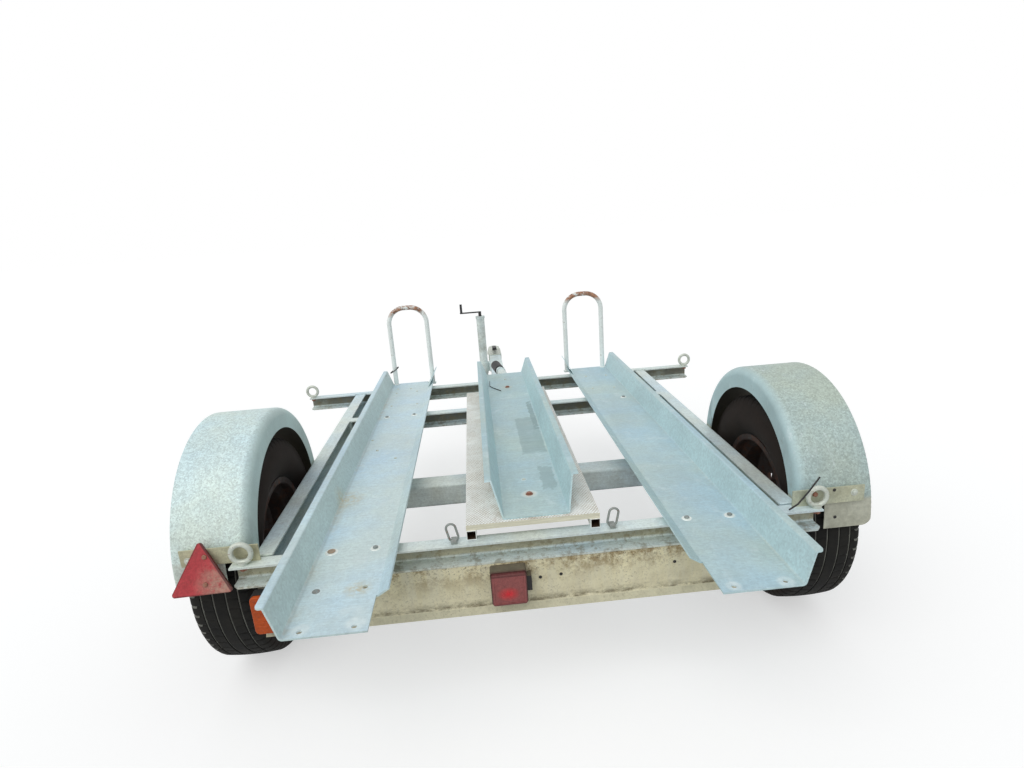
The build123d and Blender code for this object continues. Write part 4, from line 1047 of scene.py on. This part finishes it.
class TRAILER_OT_channel_bolts(bpy.types.Operator):
    """Set the bolts and washers of the three channels"""

    bl_idname = "trailer.channel_bolts"
    bl_label = "Channel bolts"

    def execute(self, context):
        rows = {kind: [(on_deck(*spot), UP) for spot in spots] for kind, spots in CHANNEL_SPOTS.items()}
        rows["small"] += [(on_centre(x, distance), UP) for x, distance in ((0.002, 0.559), (0.013, 1.684))]
        rows["round"] = [(on_centre(x, distance), UP) for x, distance in ((0.009, 0.462), (0.016, 1.551))]
        for name, kind, finish, measures in (
                ("channel_washers", "plain", "pale_steel", (13.0, 11.0, 0.4, 20, 1.2, 0.2)),
                ("channel_bolts", "plain", "grey_bolt", (8.8, 6.8, 3.6, 6, 1.7)),
                ("pale_washers", "rusty", "pale_steel", (16.5, 12.5, 0.5, 20, 1.0, 0.3)),
                ("rusty_channel_bolts", "rusty", "tan_bolt", (0.0, 10.2, 1.2, 12, 2.2)),
                ("centre_channel_bolts", "round", "rusty_bolt", (10.5, 7.8, 3.0, 6, 1.6)),
                ("hole_cover", "cover", "right_channel", (8.5, 8.0, 0.3, 20, 0.4, 0.2)),
                ("channel_plugs", "plug", "grey_bolt", (9.2, 8.5, 0.8, 20, 0.5, 0.4)),
                ("small_channel_bolts", "small", "fitting", (5.5, 4.2, 1.5, 6, 0.8, 0.6))):
            piece = bolts(name, finish, rows[kind], *measures)
        return {"FINISHED"}


class TRAILER_OT_small_bolts(bpy.types.Operator):
    """Set rivets, screws, nuts and dark discs of painted shade in holes of straps, reflector, members,
    panel, rails and wheels
    """

    bl_idname = "trailer.small_bolts"
    bl_label = "Small bolts"

    def execute(self, context):
        sizes = size_values()
        strap = STRAP_LOW.y
        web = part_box("cross_member_rear")[1].y - 0.005
        low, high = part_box("eye_nuts")
        rivets = [((-0.866, strap, DECK + 0.012), BACK), ((0.857, strap, DECK + 0.022), BACK)]
        screws = [(on_plate(-0.8180, 0.047), PLATE_OUT), (on_plate(-0.8185, -0.020), PLATE_OUT)]
        nuts = [((x, ahead(distance), FRAME_TOP - 0.005), -UP) for x, distance in (
            (low.x + 0.0305, 1.816), (high.x - 0.0305, 1.816), (-0.729, 0.313), (0.749, 0.313))]
        skirt = [((side * 0.713, ahead(distance), FRAME_TOP - 0.030), Vector((-side, 0, 0)))
                 for side in (-1, 1) for distance in (0.420, 0.925)]
        for name, finish, rows, measures in (
                ("strap_rivets", "fitting", rivets, (10.0, sizes.rivet * 1000, 2.0, 12, 1.5)),
                ("reflector_screws", "rusty_bolt", screws, (0.0, 6.2, 1.5, 6, 1.0)),
                ("eye_strap_bolt", "rusty_bolt", [((0.749, strap, DECK + 0.028), BACK)],
                 (0.0, 6.8, 3.0, 6)),
                ("member_bolt", "fitting", [((-0.270, web, FRAME_TOP - 0.022), BACK)], (0.0, 7.0, 4.0, 6)),
                ("eye_nut_bolts", "rusty_bolt", nuts, (12.0, 9.5, 8.0, 6)),
                ("skirt_bolts", "plated", skirt, (12.0, 8.5, 5.0, 6))):
            piece = bolts(name, finish, rows, *measures)
        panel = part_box("fog_lamp")[1].y
        # Painted shade: thin dark discs stand for the shade seen in holes of the straps and the panel.
        dark = [((x, y - 0.0001, DECK + z), BACK) for x, y, z in (
            (0.802, strap, 0.034), (0.812, STRAP_HIGH.y, -0.048), (0.012, panel, -0.118),
            (0.066, panel, -0.115), (0.366, panel, -0.113))]
        holes = bolts("dark_holes", "hole", dark, 0.0, 4.5, 0.3, 12, 0.3, 0.1)
        for side, centre, outward in (("left", LEFT_WHEEL, -1), ("right", RIGHT_WHEEL, 1)):
            studs = [(centre + Vector((outward * 0.038, 0.056 * math.cos(turn), 0.056 * math.sin(turn))),
                      Vector((outward, 0, 0))) for turn in [math.tau * i / 5 for i in range(5)]]
            piece = bolts(f"wheel_bolts_{side}", "rusty_bolt", studs, 10.5, 9.8, 12.0, 6, 4.0, 2.0,
                          f"wheel_{side}")
        return {"FINISHED"}


class TRAILER_OT_ears(bpy.types.Operator):
    """Add the leaning ears that hold the hoops' inner legs at the channels' inner lips"""

    bl_idname = "trailer.ears"
    bl_label = "Hoop ears"

    def execute(self, context):
        outline = [(0.364, 1.790, 0.003), (0.364, 1.8995, 0.003), (0.320, 1.8995, 0.080),
                   (0.320, 1.872, 0.080),
                   (0.340, 1.820, 0.045)]
        count = len(outline)
        for name, side in (("left", -1), ("right", 1)):
            tilt = Vector((-side * 0.865, 0, -0.495)) * 0.003
            made = bmesh.new()
            near = [made.verts.new((side * x, ahead(distance), DECK + rise)) for x, distance,
                    rise in outline]
            far = [made.verts.new(corner.co + tilt) for corner in near]
            made.faces.new(near)
            made.faces.new(list(reversed(far)))
            for i in range(count):
                j = (i + 1) % count
                made.faces.new((near[j], near[i], far[i], far[j]))
            bmesh.ops.recalc_face_normals(made, faces=made.faces)
            mesh = bpy.data.meshes.new(f"hoop_ear_{name}")
            made.to_mesh(mesh)
            made.free()
            piece = placed(f"hoop_ear_{name}", mesh, "chassis", f"{name}_channel")
        return {"FINISHED"}


def corner_welds():
    """Paths of the weld beads where frame pieces meet, in metres."""
    paths = []
    lift = 0.001
    for side in (-1, 1):
        inner, outer = side * 0.668, side * 0.718
        for distance in (0.348, 1.801):
            y = ahead(distance)
            paths.append([(inner, y, FRAME_TOP + lift), (outer, y, FRAME_TOP + lift)])
        for distance in (1.391, 1.441):
            y = ahead(distance)
            paths.append([(inner, y, FRAME_TOP - 0.002), (inner, y, FRAME_LOW + 0.004)])
        for distance in (0.804, 0.884):
            y = ahead(distance)
            paths.append([(inner, y, FRAME_LOW), (outer - side * 0.004, y, FRAME_LOW)])
    for distance in (1.391, 1.441, 1.801, 1.851):
        y = ahead(distance)
        paths.append([(-0.034, y, FRAME_LOW), (0.034, y, FRAME_LOW)])
    return paths


class TRAILER_OT_welds(bpy.types.Operator):
    """Lay the weld beads of the frame and the hoops"""

    bl_idname = "trailer.welds"
    bl_label = "Welds"

    def execute(self, context):
        sizes = size_values()
        values = {"Bead Radius": sizes.weld, "Pitch": sizes.weld, "Seed": sizes.seed}
        frame_beads = grown("frame_welds", [], "welds", values, "frame", paths=corner_welds())
        rings = [[(x + 0.0115 * math.cos(a), ahead(1.912) + 0.0115 * math.sin(a), z)
                  for a in [math.tau * i / 16 for i in range(17)]]
                 for side in (-1, 1) for x, z in ((side * 0.528, DECK + 0.001), (side * 0.344, FRAME_TOP))]
        values.update({"Bead Radius": 0.003, "Pitch": 0.003})
        hoop_beads = grown("hoop_welds", [], "welds", values, "paint", paths=rings)
        return {"FINISHED"}


class TRAILER_OT_lamp_fittings(bpy.types.Operator):
    """Add the ribs of the fog lens and the amber lenses"""

    bl_idname = "trailer.lamp_fittings"
    bl_label = "Lamp fittings"

    def execute(self, context):
        low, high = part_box("fog_lens")
        inner = high.x - low.x - 0.013
        values = {"Count": 26, "Pitch": (inner - 0.004) / 25, "Length": inner, "Radius": 0.0012,
                  "Turn": math.pi / 2}
        place = (low.x + 0.0085, low.y + 0.0016, (low.z + high.z) / 2)
        ribs = grown("fog_lens_ribs", [place], "ribs", values, "fog")
        low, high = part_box("amber_lenses")
        places = [(side * (abs(low.x) - 0.023), low.y, low.z + 0.012) for side in (-1, 1)]
        values = {"Count": 9, "Pitch": 0.0105, "Length": 0.034, "Radius": 0.0015}
        ribs = grown("amber_lens_ribs", places, "ribs", values, "amber")
        return {"FINISHED"}


class TRAILER_OT_ties(bpy.types.Operator):
    """Add the black cable ties"""

    bl_idname = "trailer.ties"
    bl_label = "Cable ties"

    def execute(self, context):
        tail = [(x, ahead(0.30), DECK + z) for x, z in (
            (0.667, 0.004), (0.690, 0.018), (0.715, 0.048), (0.744, 0.089))]
        curl = [(x, ahead(distance), CENTRE_DECK + 0.001) for x, distance in (
            (-0.060, 1.672), (-0.063, 1.586), (-0.045, 1.545), (-0.015, 1.494))]
        foot = [(-0.530 + 0.022 * math.cos(a), ahead(1.912) + 0.020 * math.sin(a),
                 DECK + 0.076 + 0.014 * math.cos(a)) for a in [math.tau * i / 14 for i in range(15)]]
        values = {"Width": size_values().tie, "Thickness": 0.0014}
        ties = grown("cable_ties", [], "strips", values, "black", paths=[tail, curl, foot])
        return {"FINISHED"}


class TRAILER_OT_stage(bpy.types.Operator):
    """Set floor, light and camera"""

    bl_idname = "trailer.stage"
    bl_label = "Stage"

    def execute(self, context):
        stage = context.scene.trailer_stage
        scene = context.scene
        scene.view_settings.view_transform = "Standard"
        mesh = bpy.data.meshes.new("floor")
        reach = 40
        mesh.from_pydata([(-reach, -reach, 0), (reach, -reach, 0), (reach, reach, 0), (-reach, reach, 0)],
                         [], [(0, 1, 2, 3)])
        mesh.materials.append(self.floor_paint(stage))
        floor = linked("floor", mesh)
        scene.world = self.studio(stage)
        lamp = bpy.data.lights.new("soft_sun", "SUN")
        lamp.energy = stage.sun
        lamp.angle = stage.spread
        lamp.color = (1.0, 0.985, 0.96)
        holder = linked("soft_sun", lamp)
        holder.location = (-2.0, -2.4, 3.2)
        holder.rotation_euler = (-holder.location).to_track_quat("-Z", "Y").to_euler()
        self.camera(scene, stage.focal)
        return {"FINISHED"}

    def split(self, tree, lit, seen, output):
        """One shader on rays that light the trailer, another for the camera, reflections and glass."""
        rays = tree.nodes.new("ShaderNodeLightPath").outputs
        last = rays["Is Camera Ray"]
        for kind in ("Is Glossy Ray", "Is Transmission Ray"):
            last = add_node(tree, "ShaderNodeMath", {0: last, 1: rays[kind]}, operation="MAXIMUM")
        mixed = add_node(tree, "ShaderNodeMixShader", {0: last, 1: lit, 2: seen})
        add_node(tree, output, {"Surface": mixed})

    def floor_paint(self, stage):
        """Floor that looks white with a soft shadow and lights the trailer as plain paving would."""
        material = bpy.data.materials.new("floor_paint")
        tree = emptied(material)
        glow = add_node(tree, "ShaderNodeEmission", {"Strength": stage.backdrop})
        shaded = add_node(tree, "ShaderNodeBsdfDiffuse", {"Color": (0.58, 0.58, 0.58, 1)})
        bright = add_node(tree, "ShaderNodeAddShader", {0: glow, 1: shaded})
        plain = add_node(tree, "ShaderNodeBsdfDiffuse", {"Color": (*stage.floor, 1)})
        self.split(tree, plain, bright, "ShaderNodeOutputMaterial")
        return material

    def studio(self, stage):
        """World that lights softly and is seen as white."""
        world = bpy.data.worlds.new("studio")
        tree = emptied(world)
        soft = add_node(tree, "ShaderNodeBackground",
                        {"Color": (0.95, 0.98, 1.0, 1), "Strength": stage.sky})
        white = add_node(tree, "ShaderNodeBackground", {"Color": (1, 1, 1, 1), "Strength": 1.0})
        self.split(tree, soft, white, "ShaderNodeOutputWorld")
        return world

    def camera(self, scene, focal):
        """Camera where the photograph was taken, measured from the channels' rear ends and the deck."""
        yaw, pitch, roll = -0.0501, 0.2752, -0.0734
        data = bpy.data.cameras.new("camera")
        data.sensor_width = 36
        data.lens = focal
        data.clip_start, data.clip_end = 0.05, 100
        forward = Vector((-math.sin(yaw) * math.cos(pitch), math.cos(yaw) * math.cos(pitch),
                          -math.sin(pitch)))
        level = Vector((math.cos(yaw), math.sin(yaw), 0))
        upright = level.cross(forward)
        right = math.cos(roll) * level + math.sin(roll) * upright
        up = math.cos(roll) * upright - math.sin(roll) * level
        turn = Matrix((right, up, -forward)).transposed()
        scene.camera = linked("camera", data)
        scene.camera.matrix_world = Matrix.Translation((-0.0928, ahead(-1.0557),
                                                        DECK + 0.7895)) @ turn.to_4x4()


class TRAILER_PT_panel(bpy.types.Panel):
    """Panel that lists the trailer's operators and values"""

    bl_idname = "TRAILER_PT_panel"
    bl_label = "Motorcycle Trailer"
    bl_space_type = "VIEW_3D"
    bl_region_type = "UI"
    bl_category = "Trailer"

    def draw(self, context):
        column = self.layout.column()
        for operator in OPERATORS:
            column.operator(operator.bl_idname)
        for group in (context.scene.trailer_finish, context.scene.trailer_sizes,
                      context.scene.trailer_stage):
            box = self.layout.box()
            for name in group.__annotations__:
                box.prop(group, name)


OPERATORS = (
    TRAILER_OT_stage,
    TRAILER_OT_finishes,
    TRAILER_OT_tyres,
    TRAILER_OT_channel_bolts,
    TRAILER_OT_small_bolts,
    TRAILER_OT_ears,
    TRAILER_OT_welds,
    TRAILER_OT_lamp_fittings,
    TRAILER_OT_ties,
)
CLASSES = (TrailerFinish, TrailerSizes, TrailerStage, *OPERATORS, TRAILER_PT_panel)


def register():
    """Register the classes and the scene's properties."""
    for one in CLASSES:
        bpy.utils.register_class(one)
    bpy.types.Scene.trailer_finish = PointerProperty(type=TrailerFinish)
    bpy.types.Scene.trailer_sizes = PointerProperty(type=TrailerSizes)
    bpy.types.Scene.trailer_stage = PointerProperty(type=TrailerStage)


def unregister():
    """Take the properties and classes away."""
    del bpy.types.Scene.trailer_stage
    del bpy.types.Scene.trailer_sizes
    del bpy.types.Scene.trailer_finish
    for one in reversed(CLASSES):
        bpy.utils.unregister_class(one)


def main():
    """Dress the trailer."""
    register()
    for operator in OPERATORS:
        section, name = operator.bl_idname.split(".")
        getattr(getattr(bpy.ops, section), name)()


if __name__ == "__main__":
    main()
